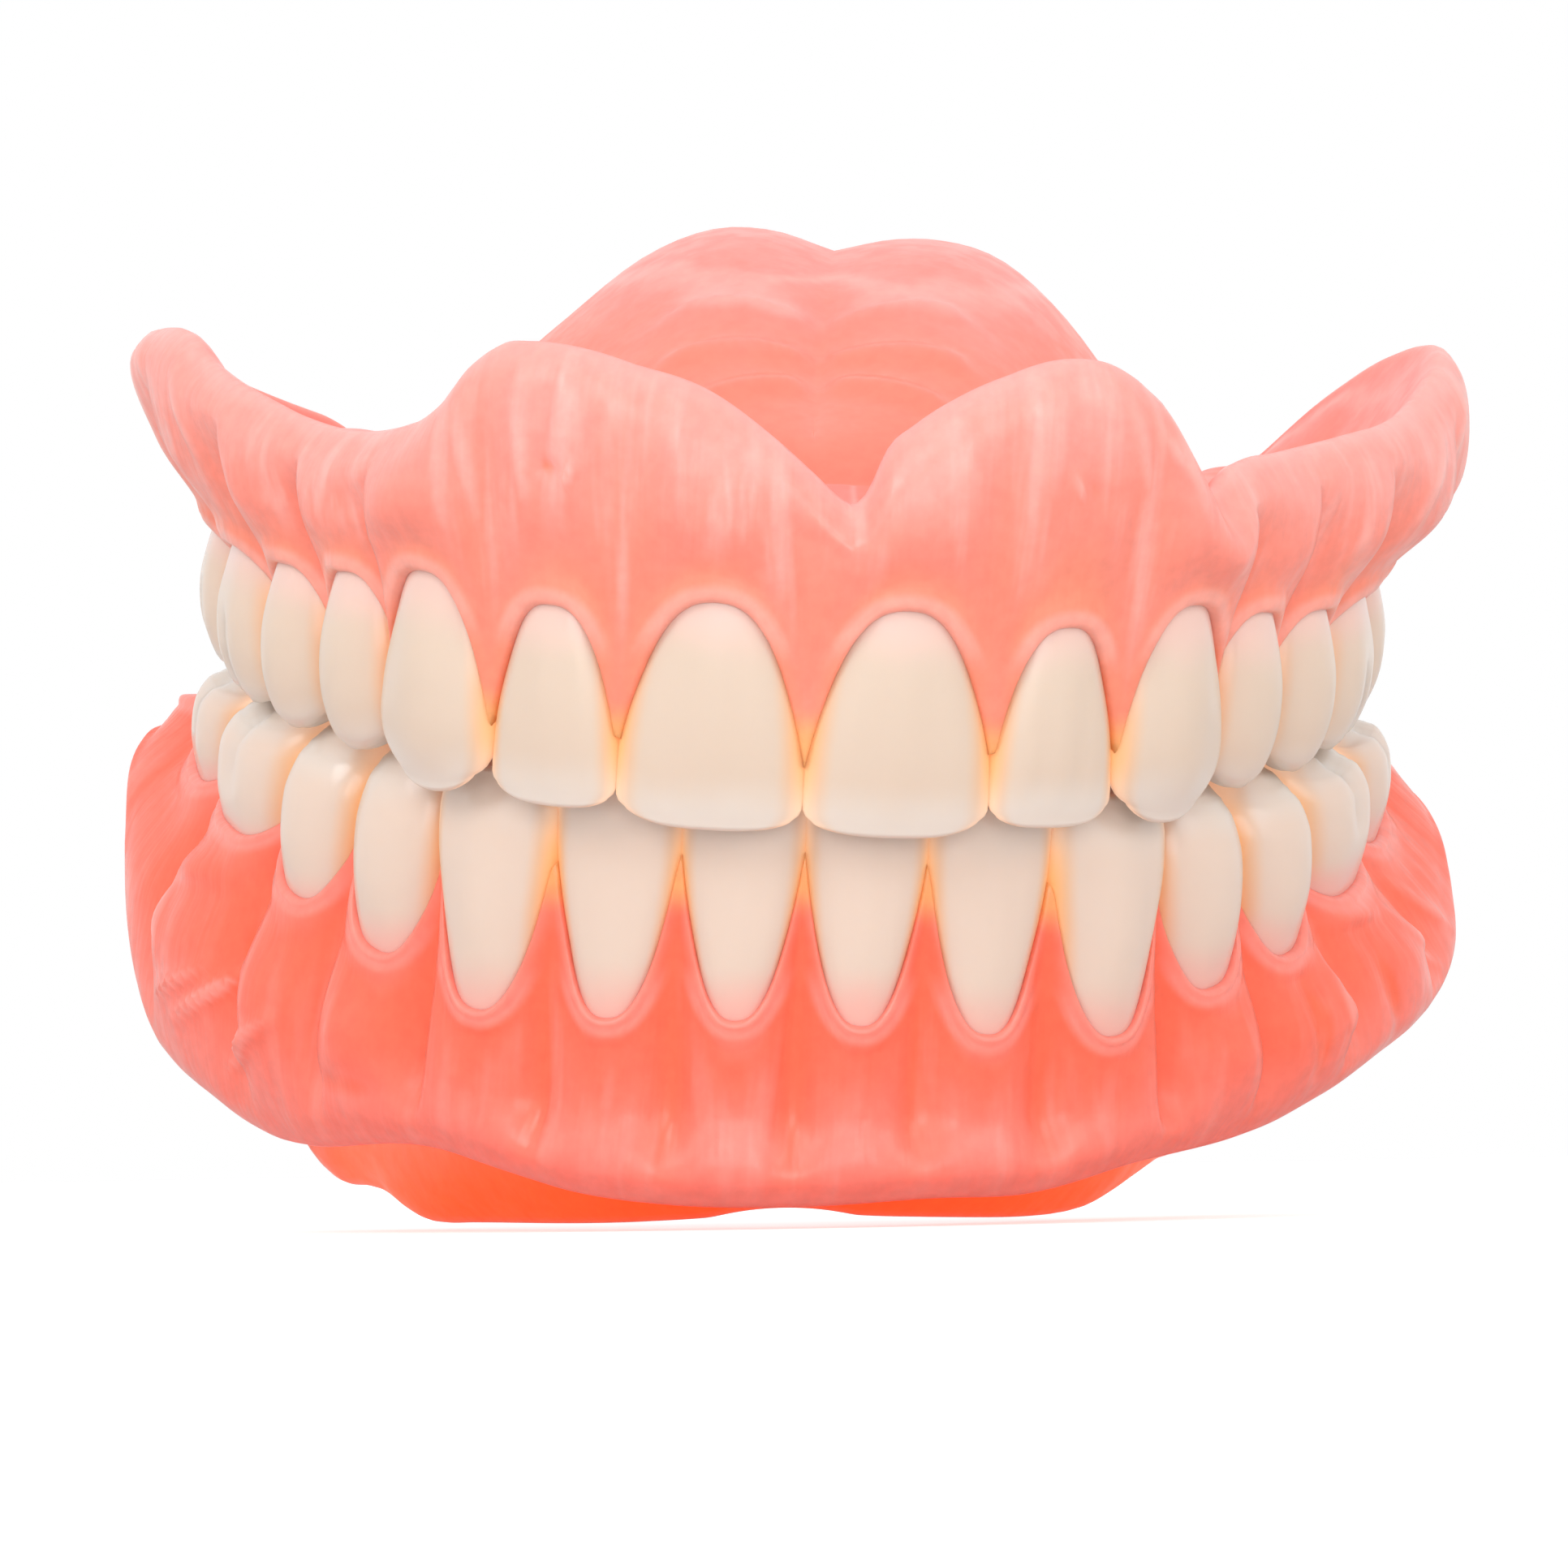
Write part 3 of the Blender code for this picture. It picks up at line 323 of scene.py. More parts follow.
# the gum surfaces: heights and reaches against the place along the arch
upperBase = {
    "end": 7.65, "columns": 420, "wall": 2.5, "ridge": 8, "plate": 2.3, "spineStart": 13, "spineEnd": 46,
    "borderHeight": (
        (-7.65, 14), (-7.4, 15.9), (-7.1, 18), (-6.8, 18.9), (-6.4, 19.25), (-6, 19.75), (-5.75, 19.9),
        (-5.55, 19.6), (-5.4, 18.9), (-5.2, 18.4), (-4.6, 17.4), (-4.2, 16.9), (-3.4, 16.8), (-2.8, 17.6),
        (-2.6, 18.1), (-2.4, 19.1), (-2.2, 20.8), (-2, 22), (-1.75, 22.3), (-1.3, 22.1), (-1, 21.6),
        (-0.6, 20.6), (-0.25, 18.6), (0, 16.8), (0.12, 15.9), (0.2, 15.6), (0.26, 16.1), (0.36, 18.2),
        (0.5, 19.4), (0.75, 20.9), (1.1, 22.2), (1.45, 22.7), (1.8, 22.3), (2, 21.5), (2.2, 20.1),
        (2.4, 18.3), (2.6, 16.4), (2.7, 16.3), (2.85, 17.1), (3.1, 17.5), (3.6, 17.6), (4.6, 18.1),
        (5.6, 18.9), (6.1, 20.2), (6.5, 21.1), (6.9, 21.1), (7.1, 20.7), (7.4, 18.8), (7.55, 16.8),
        (7.65, 14.6),
    ),
    "borderReach": (
        (-7.65, -3.8), (-7.55, -1.7), (-7.4, 0.95), (-7.2, 3.2), (-6.9, 4.95), (-6.4, 5.7), (-5.9, 5.2),
        (-5.5, 4.5), (-4.5, 2.7), (-3.3, 1.8), (-2.5, 2.4), (-1, 1.8), (0, 1.3), (1, 1.8), (2.5, 2.4),
        (3.3, 1.8), (4.5, 2.6), (5.5, 3.9), (6.4, 4.9), (6.9, 4.3), (7.2, 2.6), (7.4, 0.55), (7.55, -1.7),
        (7.65, -3.8),
    ),
    "flankReach": (
        (-7.65, -4), (-7.4, 0.1), (-7.2, 1.9), (-7, 3.1), (-6.4, 4.1), (-5.5, 3.3), (-4.5, 2.3), (-3.3, 1.8),
        (-2.5, 3), (-1.5, 2.1), (-0.5, 2.1), (0, 1.5), (0.5, 2.1), (1.5, 2.1), (2.5, 3), (3.3, 1.8),
        (4.5, 2.4), (5.5, 3.7), (6.4, 4.9), (7, 4.2), (7.2, 2.8), (7.4, 0.4), (7.65, -4),
    ),
    "neckHeight": (
        (0, 10.6), (0.5, 10.8), (1.5, 10.1), (2.5, 10.9), (3.5, 9.9), (4.5, 9.4), (5.5, 9.2), (6.5, 9.1),
        (7.1, 9.9), (7.7, 10.8),
    ),
    "papilla": ((0, 7.4), (1, 7), (2, 6.7), (3, 5.4), (5, 4), (6.8, 2.8), (7.7, 1.2)),
    "papillaShape": ((0, 2.6), (2, 2.6), (3.5, 3.2), (7.7, 3.4)),
    "tongueNeck": ((0, 7), (3, 7), (5, 6.4), (6.8, 6), (7.7, 9.4)),
    "tonguePapilla": ((0, 1.6), (5, 1.6), (7, 1), (7.7, 0)),
    "trough": ((0, 14), (1, 14.4), (2.5, 14.6), (3.5, 13.6), (5, 13), (6.8, 12.9), (7.7, 13.4)),
    "crest": ((0, -3.4), (2.5, -3.2), (4, -3.4), (6.6, -3.8), (7.7, -7.6)),
    "rim": ((0, 15.5), (2.5, 15.6), (4, 14.6), (6, 13.4), (7, 12.8), (7.7, 12.6)),
    "dome": ((0, 17.6), (2, 20.6), (4, 24.2), (5.4, 25.5), (6.5, 25.3), (7.7, 24)), "spineShift": 1.6,
    "profileFront": ((0, 0), (0.22, 0.34), (0.45, 0.64), (0.65, 0.82), (0.82, 0.93), (1, 1)),
    "profileRight": ((0, 0), (0.22, 0.34), (0.38, 0.64), (0.55, 0.92), (0.72, 1.05), (0.86, 1.03), (1, 0.92)),
    "profileLeft": ((0, 0), (0.22, 0.42), (0.38, 0.75), (0.55, 0.98), (0.72, 1.04), (0.86, 1.01), (1, 0.92)),
    "rootBulge": ((0, 0.3), (2, 0.4), (3, 0.8), (4.5, 1), (6, 0.9), (7.7, 0.3)), "roll": 0.2, "crease": 0.04,
    "palateRows": 24, "domeFoot": 17, "domeHeight": 8.5,
    # the palate's low ridges, from (x, y) to (x, y)
    "rugae": (
        ((-1.2, 17.5), (-5.6, 15.8)), ((1.6, 17.8), (5.8, 16.2)), ((-1, 20.6), (-6.8, 20.2)),
        ((1.4, 20.8), (7, 20.4)), ((-1.2, 24.2), (-6.4, 25)), ((1.6, 24.4), (6.6, 25.2)),
    ),
    "rugaHeight": 0.4, "rugaWidth": 0.8,
    # the section across the ridge: shares of the ridge's half width and of heights, and steps in millimetres
    "ridgeTaper": 0.6, "endInset": 0.3, "flankShare": 0.45, "troughDepth": 1.2, "troughGap": 0.3,
    "outerWall": (0.75, 0.35), "innerWall": (0.8, 0.4), "rimOut": 1.3, "endTongue": 1.0,
    "tongueFoot": (0.7, 0.9), "tongueSlope": (2.0, 2.2), "tongueFade": 5, "endRadius": 1.2,
    # raised and sunken lines of the facial side: from (place, height) to (place, height),
    # how tall and how wide
    "folds": (
        ((-2.15, 20.5), (-2, 13), 0.3, 0.55), ((-1.72, 21.2), (-1.6, 14), 0.3, 0.5),
        ((-1.42, 21.8), (-1.32, 15.4), 0.26, 0.45), ((-1.12, 21), (-1.02, 15), 0.2, 0.6),
        ((-0.72, 19), (-0.66, 13.6), 0.2, 0.45), ((-0.45, 17.4), (-0.42, 13.2), 0.14, 0.4),
        ((-1.52, 17.4), (-1.44, 15.9), -0.22, 0.28), ((-1.28, 17.2), (-1.36, 16), 0.24, 0.24),
        ((-1.6, 16.4), (-1.3, 16.9), -0.16, 0.25), ((0.75, 20), (0.8, 14.6), 0.18, 0.6),
        ((1.28, 22), (1.22, 15.6), 0.24, 0.6), ((1.38, 17.6), (1.46, 16), 0.26, 0.26),
        ((1.52, 17.2), (1.56, 16.2), -0.2, 0.26), ((1.75, 21.6), (2, 15.2), 0.26, 0.5),
        ((2.1, 20.6), (2.36, 14.4), 0.3, 0.45), ((2.02, 19.4), (2.16, 17.6), 0.3, 0.35),
        ((-3.1, 14.6), (-2.95, 12.2), 0.3, 0.5), ((4.2, 16.4), (4.05, 12.6), 0.25, 0.6),
        ((5.75, 18.6), (5.3, 12.6), 0.35, 0.7), ((6.25, 19.4), (5.9, 13.6), 0.35, 0.7),
        ((-5.5, 18.6), (-5.3, 13), 0.3, 0.6), ((-6.1, 18.8), (-5.9, 13.4), 0.3, 0.7),
    ),
}

lowerBase = {
    "end": 7.8, "columns": 440, "wall": 2.5, "ridge": 8, "flangeLevel": -17.95,
    "borderHeight": (
        (-7.8, -4), (-7.5, -4.6), (-7.1, -8), (-6.8, -12.4), (-6.6, -15), (-6.3, -17.1), (-6.1, -18),
        (-5.8, -18.8), (-5.5, -19.3), (-5.2, -19.9), (-4.9, -20.1), (-4.5, -19.8), (-2.9, -17.7), (-2.3, -18),
        (-1.7, -18.4), (-0.9, -18.5), (0, -18.3), (1.2, -17.7), (1.9, -17.7), (2.8, -16.9), (4, -16.8),
        (4.5, -16.4), (5, -15.5), (5.5, -14.4), (5.9, -13.8), (6.3, -12.9), (6.6, -11.6), (6.8, -10.2),
        (7.1, -7.4), (7.5, -4.9), (7.8, -4),
    ),
    "borderReach": (
        (-7.8, -1), (-7.65, 1.8), (-7.4, 3.7), (-7, 4.6), (-6.5, 4.4), (-6, 3.8), (-5.5, 2.8), (-5, 1.6),
        (-4, 1.4), (-2.8, 1.6), (-1.5, 2), (0, 1.9), (1.5, 2), (2.8, 1.8), (3.8, 1.4), (4.6, 2.2), (5.2, 3.6),
        (6, 5), (6.7, 5.5), (7.1, 4.4), (7.4, 3), (7.65, 1.2), (7.8, -1),
    ),
    "flankReach": (
        (-7.8, -1.2), (-7.65, 1.4), (-7.3, 3.7), (-6.8, 4.4), (-6, 3.8), (-5, 2.6), (-4, 2), (-2.8, 1.3),
        (-1.5, 1), (0, 0.9), (1.5, 1), (2.8, 1.3), (4, 2.1), (5, 3.1), (6, 4.2), (6.7, 4.4), (7.2, 3.7),
        (7.65, 1), (7.8, -1.2),
    ),
    "neckHeight": (
        (-7.8, -2.2), (-7.2, -2.5), (-6.5, -4.1), (-5.5, -5.1), (-4.5, -6.9), (-3.5, -8.4), (-2.5, -10.1),
        (-1.5, -9.7), (-0.5, -9.3), (0, -9.2), (0.5, -9.3), (1.5, -9.7), (2.5, -10.1), (3.5, -8.5),
        (4.5, -7.7), (5.5, -5.8), (6.5, -4.6), (7.2, -2.8), (7.8, -2.4),
    ),
    "papilla": ((0, 8), (2, 8), (3, 7), (4, 5), (5, 3.6), (7, 1.6), (7.8, 0.4)),
    "papillaShape": ((0, 2.5), (2, 2.5), (3.5, 2.7), (7.8, 3)),
    "tongueNeck": (
        (0, -7.8), (2.5, -8.2), (3.5, -7), (4.5, -6.2), (5.5, -4.6), (6.5, -3.6), (7.2, -2.2), (7.8, -2),
    ),
    "tonguePapilla": ((0, 1.8), (5, 1.6), (7, 0.6), (7.8, 0)),
    "trough": (
        (0, -13.2), (2.5, -13.8), (3.5, -12.6), (4.5, -11.8), (5.5, -10.2), (6.5, -8.8), (7.2, -6.4),
        (7.8, -3.8),
    ),
    "crest": ((0, -3.2), (2.5, -3), (5, -3.4), (7, -3.4), (7.8, -3.9)),
    "tongueLift": (
        (-7.8, 24.4), (-7.6, 20.9), (-7.3, 13.9), (-7, 6.9), (-6.75, 3.7), (-6.5, 2.3), (-6.2, 2),
        (-5.95, 1.6), (-5.7, 0.7), (-5.5, 0.15), (-5.3, 0), (-5, 0), (-2, 0), (-1, 0.15), (0, 0.6), (1, 0.15),
        (2, 0), (4.4, 0), (4.7, 0.1), (5, 0.35), (5.3, 1), (5.6, 1.75), (6, 2.6), (6.5, 3.3), (7, 6.4),
        (7.3, 11.4), (7.6, 17.9), (7.8, 21.4),
    ),
    "tongueReach": (
        (-7.8, -6.6), (-7.3, -5.8), (-6.8, -7.2), (-6.2, -9.4), (-5.5, -11.2), (-4.5, -12), (-3, -11),
        (-1.5, -10), (0, -9.4), (1.5, -10), (3, -11), (4.5, -11.8), (5.5, -11.2), (6.2, -10.4), (6.8, -9.4),
        (7.3, -8), (7.8, -7),
    ),
    "rootBulge": ((0, 0.45), (2, 0.5), (3, 0.85), (4.5, 1), (6, 0.9), (7.8, 0.3)), "roll": 0.16,
    "crease": 0.16,
    # the section across the ridge, as in the upper base
    "wallTaper": 0.45, "ridgeTaper": 0.8, "endInset": 0.5, "flankShare": 0.5, "troughDepth": 0.6,
    "underNeck": 3.2, "underNeckTaper": 0.6, "outerWall": (0.75, 0.35), "innerWall": (0.75, 0.3),
    "endTongue": 1.0, "endMargin": 0.4, "flangeHollow": 0.3, "tongueFoot": (0.6, 1.3), "endRadius": 1.4,
    "folds": (
        ((-5.35, -7.2), (-5.95, -7.6), 0.75, 0.9), ((-5.9, -8.6), (-5.85, -12), 0.5, 0.9),
        ((-4.95, -11.2), (-5.62, -15.4), 0.5, 0.42), ((-4.45, -13.2), (-5.15, -16.8), 0.5, 0.42),
        ((-5.32, -12), (-5.8, -14.4), 0.4, 0.36), ((-4.75, -14.8), (-4.95, -16.4), 0.3, 0.3),
        ((-5.15, -9), (-5.1, -12.6), -0.4, 0.7), ((-4.05, -15.5), (-3.3, -15.2), -0.25, 0.8),
        ((4.92, -9.6), (4.98, -12.2), 0.8, 0.8), ((4.55, -9.4), (4.62, -13.6), -0.5, 0.7),
        ((5.05, -7), (5.7, -6.9), 0.45, 0.5), ((5.75, -7.6), (6.15, -10.6), 0.45, 0.5),
        ((6.2, -6.8), (6.5, -9.4), 0.35, 0.5), ((5.4, -8.6), (5.5, -12.6), -0.4, 0.8),
    ),
}


def sideReach(jaw, place, which):
    rows = [(i + 0.5, float(curveAt(toothForms[t[4]][which], 1.0))) for i, t in enumerate(jaw["teeth"])]
    return curveAt(rows, np.clip(np.abs(place), 0.5, 6.5))


# what both bases share: the swellings over the roots, the folds' ends, the gum's edge round the necks with
# its bead and crease, and how it seats on the teeth
gumEdge = {
    "hollowWidth": 0.2, "stepRise": (0.0, 0.8), "stepDrop": (0.9, 1.0), "stepShare": 0.65,
    "stepFrom": (1.9, 2.9), "lastRoot": 7.2, "foldEnd": 0.35, "foldSpan": (0.06, 0.94), "pastNeck": 1.2,
    "widest": 0.965, "evened": 1.6, "beadWidth": 0.4, "beadFade": (0.5, 1.5), "beadLoss": 0.75,
    "tipFade": (0.8, 3.5), "tipLoss": 0.8, "creaseAt": 0.55, "creaseWidth": 0.16, "creaseFade": (0.2, 1.8),
    "tongueBead": 0.7, "seat": 0.5, "lip": (1.1, 0.25), "tongueLip": (0.9, 0.3), "lean": 0.35,
    "hollowRow": (3.6, 1.2), "innerRows": (5.6, 7.0),
}


def bulgeAt(place):
    # 1 over a root and -1 in the narrower hollow between two; at the sides each root ends in a step backwards
    away, far = np.abs(place - np.rint(place)), np.abs(place)
    even = 1 - 2 * bell(away, 0, gumEdge["hollowWidth"])
    past = far - np.floor(far)
    stepped = 2 * ease(*gumEdge["stepRise"], past) * (1 - ease(*gumEdge["stepDrop"], past)) - 1
    sideways = gumEdge["stepShare"] * ease(*gumEdge["stepFrom"], far)
    return (even * (1 - sideways) + stepped * sideways) * np.clip(gumEdge["lastRoot"] - far, 0, 1)


def besideLine(u, v, start, stop):
    # how far along a line points lie, from 0 to 1, and how far from it
    du, dv = stop[0] - start[0], stop[1] - start[1]
    t = np.clip(((u - start[0]) * du + (v - start[1]) * dv) / (du ** 2 + dv ** 2), 0, 1)
    return t, np.hypot(u - start[0] - t * du, v - start[1] - t * dv)


def foldsAt(jaw, base, s, z):
    # height of the fine folds over the plain gum, at distances along the arch and heights
    total = np.zeros(z.shape)
    for (place0, z0), (place1, z1), tall, wide in base["folds"]:
        t, away = besideLine(s, z, (distanceAlong(jaw, place0), z0), (distanceAlong(jaw, place1), z1))
        body = (1 - gumEdge["foldEnd"]) * np.sin(math.pi * np.clip(t, *gumEdge["foldSpan"]))
        total += tall * bell(away, 0, wide) * (gumEdge["foldEnd"] + body)
    return total


def blurred(values, spread):
    # evens out a row of values along the arch
    reach = int(spread * 3) + 1
    weight = np.exp(-0.5 * (np.arange(-reach, reach + 1) / spread) ** 2)
    return np.convolve(np.pad(values, reach, mode="edge"), weight / weight.sum(), "valid")


def marginLine(jaw, base, place, which):
    # height and reach of the gum's edge round the teeth on the facial or the tongue side
    up, far = jaw["up"], np.abs(place)
    index = np.clip(far.astype(int), 0, 6)
    local = np.where(far < 7, 2 * np.abs(far - index - 0.5), 1.0)
    rise = np.minimum(1, local) ** curveAt(base["papillaShape"], far)
    signed = place if which == "facial" and jaw["name"] == "lower" else far
    neck = curveAt(base["neckHeight" if which == "facial" else "tongueNeck"], signed)
    papilla = curveAt(base["papilla" if which == "facial" else "tonguePapilla"], far)
    height = neck - up * papilla * rise
    reach = np.zeros(len(place))
    sign = 1 if which == "facial" else -1
    for i, (_, width, tall, tip, kind) in enumerate(jaw["teeth"]):
        here = index == i
        form = toothForms[kind]
        share = np.clip(up * (height[here] - tip) / tall, 0, gumEdge["pastNeck"])
        half, middle, deep = outline(form, width, share)
        if which == "tongue":
            half = half * (1 - form["taper"])
        ratio = np.clip(local[here] * width / 2 / half, 0, gumEdge["widest"])
        reach[here] = middle + sign * deep * (1 - ratio ** form["squareness"]) ** (1 / form["squareness"])
    return height, blurred(reach, gumEdge["evened"])


def distanceTo(s, z, lineS, lineZ):
    near = np.empty(s.shape)
    for r in range(s.shape[0]):
        near[r] = np.sqrt(((s[r][:, None] - lineS[None]) ** 2 + (z[r][:, None] - lineZ[None]) ** 2).min(1))
    return near


def carried(controls, rows):
    # a chain of control points per column, read at rows counted in control points
    chords = np.sqrt((np.diff(controls, axis=0) ** 2).sum(-1)).mean(1)
    knots = np.concatenate([[0], np.cumsum(np.maximum(chords, 0.3))])
    at = np.interp(rows, range(len(knots)), knots)
    weights = np.array([curveAt(list(zip(knots, unit)), at) for unit in np.eye(len(knots))]).T
    return np.einsum("mk,knc->mnc", weights, controls)


def rowList(counts):
    rows = []
    for i, count in enumerate(counts):
        if isinstance(count, tuple):
            rows += [i + f for f in count]
        else:
            rows += [i + k / count for k in range(count)]
    return np.array(rows + [len(counts)], float)


nearMargin = (0, 0.03, 0.06, 0.1, 0.15, 0.21, 0.28, 0.36, 0.45, 0.56, 0.7, 0.85)


def rolled(base, distance, tip):
    # the little bead of gum that stands round each neck and dies away into the papillae, and the crease below
    edge = np.clip(distance / gumEdge["beadWidth"], 0, 1)
    bead = base["roll"] * np.sqrt(1 - (1 - edge) ** 2)
    bead = bead * (1 - gumEdge["beadLoss"] * ease(*gumEdge["beadFade"], distance))
    crease = base["crease"] * bell(distance, gumEdge["creaseAt"], gumEdge["creaseWidth"])
    bead = bead * (1 - gumEdge["tipLoss"] * ease(*gumEdge["tipFade"], tip))
    return bead - crease * (1 - ease(*gumEdge["creaseFade"], tip))


def beadFace(jaw, base, line, rows, s, marginZ, neck, end):
    # lays the bead and the folds on the facial rows, and gives what the masks need of them
    sAll = np.broadcast_to(s, line.shape[:2])
    band = distanceTo(sAll, line[..., 1], s, marginZ)
    onFace = (rows >= 2) & (rows < 6)
    tip = jaw["up"] * (neck - line[..., 1])
    line[onFace, :, 0] += (rolled(base, band, tip) * (1 - end))[onFace]
    fold = foldsAt(jaw, base, sAll, line[..., 1]) * onFace[:, None]
    line[..., 0] += fold
    return band, onFace, tip, fold


def beadTongue(base, line, onTongue, s, tongueZ, end):
    band = distanceTo(np.broadcast_to(s, line.shape[:2]), line[..., 1], s, tongueZ)
    line[onTongue, :, 0] -= (gumEdge["tongueBead"] * rolled(base, band, 0) * (1 - end))[onTongue]
    return band


def gridPiece(name, rows, columns):
    nothingSelected()
    bpy.ops.mesh.primitive_grid_add(x_subdivisions=columns - 1, y_subdivisions=rows - 1, size=2)
    piece = bpy.context.object
    piece.name = name
    places = placesOf(piece)
    i = np.rint((places[:, 0] + 1) / 2 * (columns - 1)).astype(int)
    j = np.rint((places[:, 1] + 1) / 2 * (rows - 1)).astype(int)
    return piece, j, i


def roundedEnds(grid, masks, middleOf, radius, count=6):
    # more columns at both ends that draw the section onto its middle line, so that the ends are rounded
    ends = []
    for first, second in ((0, 1), (-1, -2)):
        edge = grid[:, first]
        middle = middleOf(edge)
        heading = middleOf(edge - grid[:, second])
        heading = heading / np.maximum(np.linalg.norm(heading, axis=-1, keepdims=True), 1e-9)
        reach = np.minimum(np.linalg.norm(edge - middle, axis=-1, keepdims=True), radius)
        reach = np.broadcast_to(middleOf(reach), reach.shape)
        ends.append(np.stack([middle + (edge - middle) * math.cos(t) + heading * reach * math.sin(t)
                              for t in np.linspace(0, math.pi / 2, count + 1)[1:]], 1))
    grid = np.concatenate([ends[0][:, ::-1], grid, ends[1]], 1)
    masks = {name: np.pad(values, ((0, 0), (count, count)), mode="edge") for name, values in masks.items()}
    return grid, masks


def finishedGum(name, grid, masks, middleOf, radius):
    grid, masks = roundedEnds(grid, masks, middleOf, radius)
    piece, j, i = gridPiece(name, *grid.shape[:2])
    shapePiece(piece, grid[j, i], {mask: values[j, i] for mask, values in masks.items()})
    return piece


def gumColumns(jaw, base):
    # places along the arch from end to end, and the border's reach and height at each
    place = np.linspace(0, base["end"], base["columns"] // 2 + 1)
    place = np.concatenate([-place[:0:-1], place])
    end = np.clip((np.abs(place) - 7) / (base["end"] - 7), 0, 1)
    border, borderZ = curveAt(base["borderReach"], place), curveAt(base["borderHeight"], place)
    return place, np.abs(place), distanceAlong(jaw, place), end, border, borderZ


def facialControls(jaw, place, marginZ, marginR, flank, flankZ):
    up = jaw["up"]
    middle = (sideReach(jaw, place, "facial") + sideReach(jaw, place, "tongue")) / 2
    lean, (lipIn, lipUp) = gumEdge["lean"], gumEdge["lip"]
    leaning = marginR + lean * (flank - marginR), marginZ + lean * (flankZ - marginZ)
    return [(middle, marginZ + up * gumEdge["seat"]), (marginR - lipIn, marginZ + up * lipUp),
            (marginR, marginZ), leaning, (flank, flankZ)]


def asControls(pairs, count):
    def evened(pair):
        return np.broadcast_arrays(*[np.asarray(v, float) for v in pair], np.zeros(count))[:2]
    return np.stack([np.stack(evened(pair), -1) for pair in pairs])


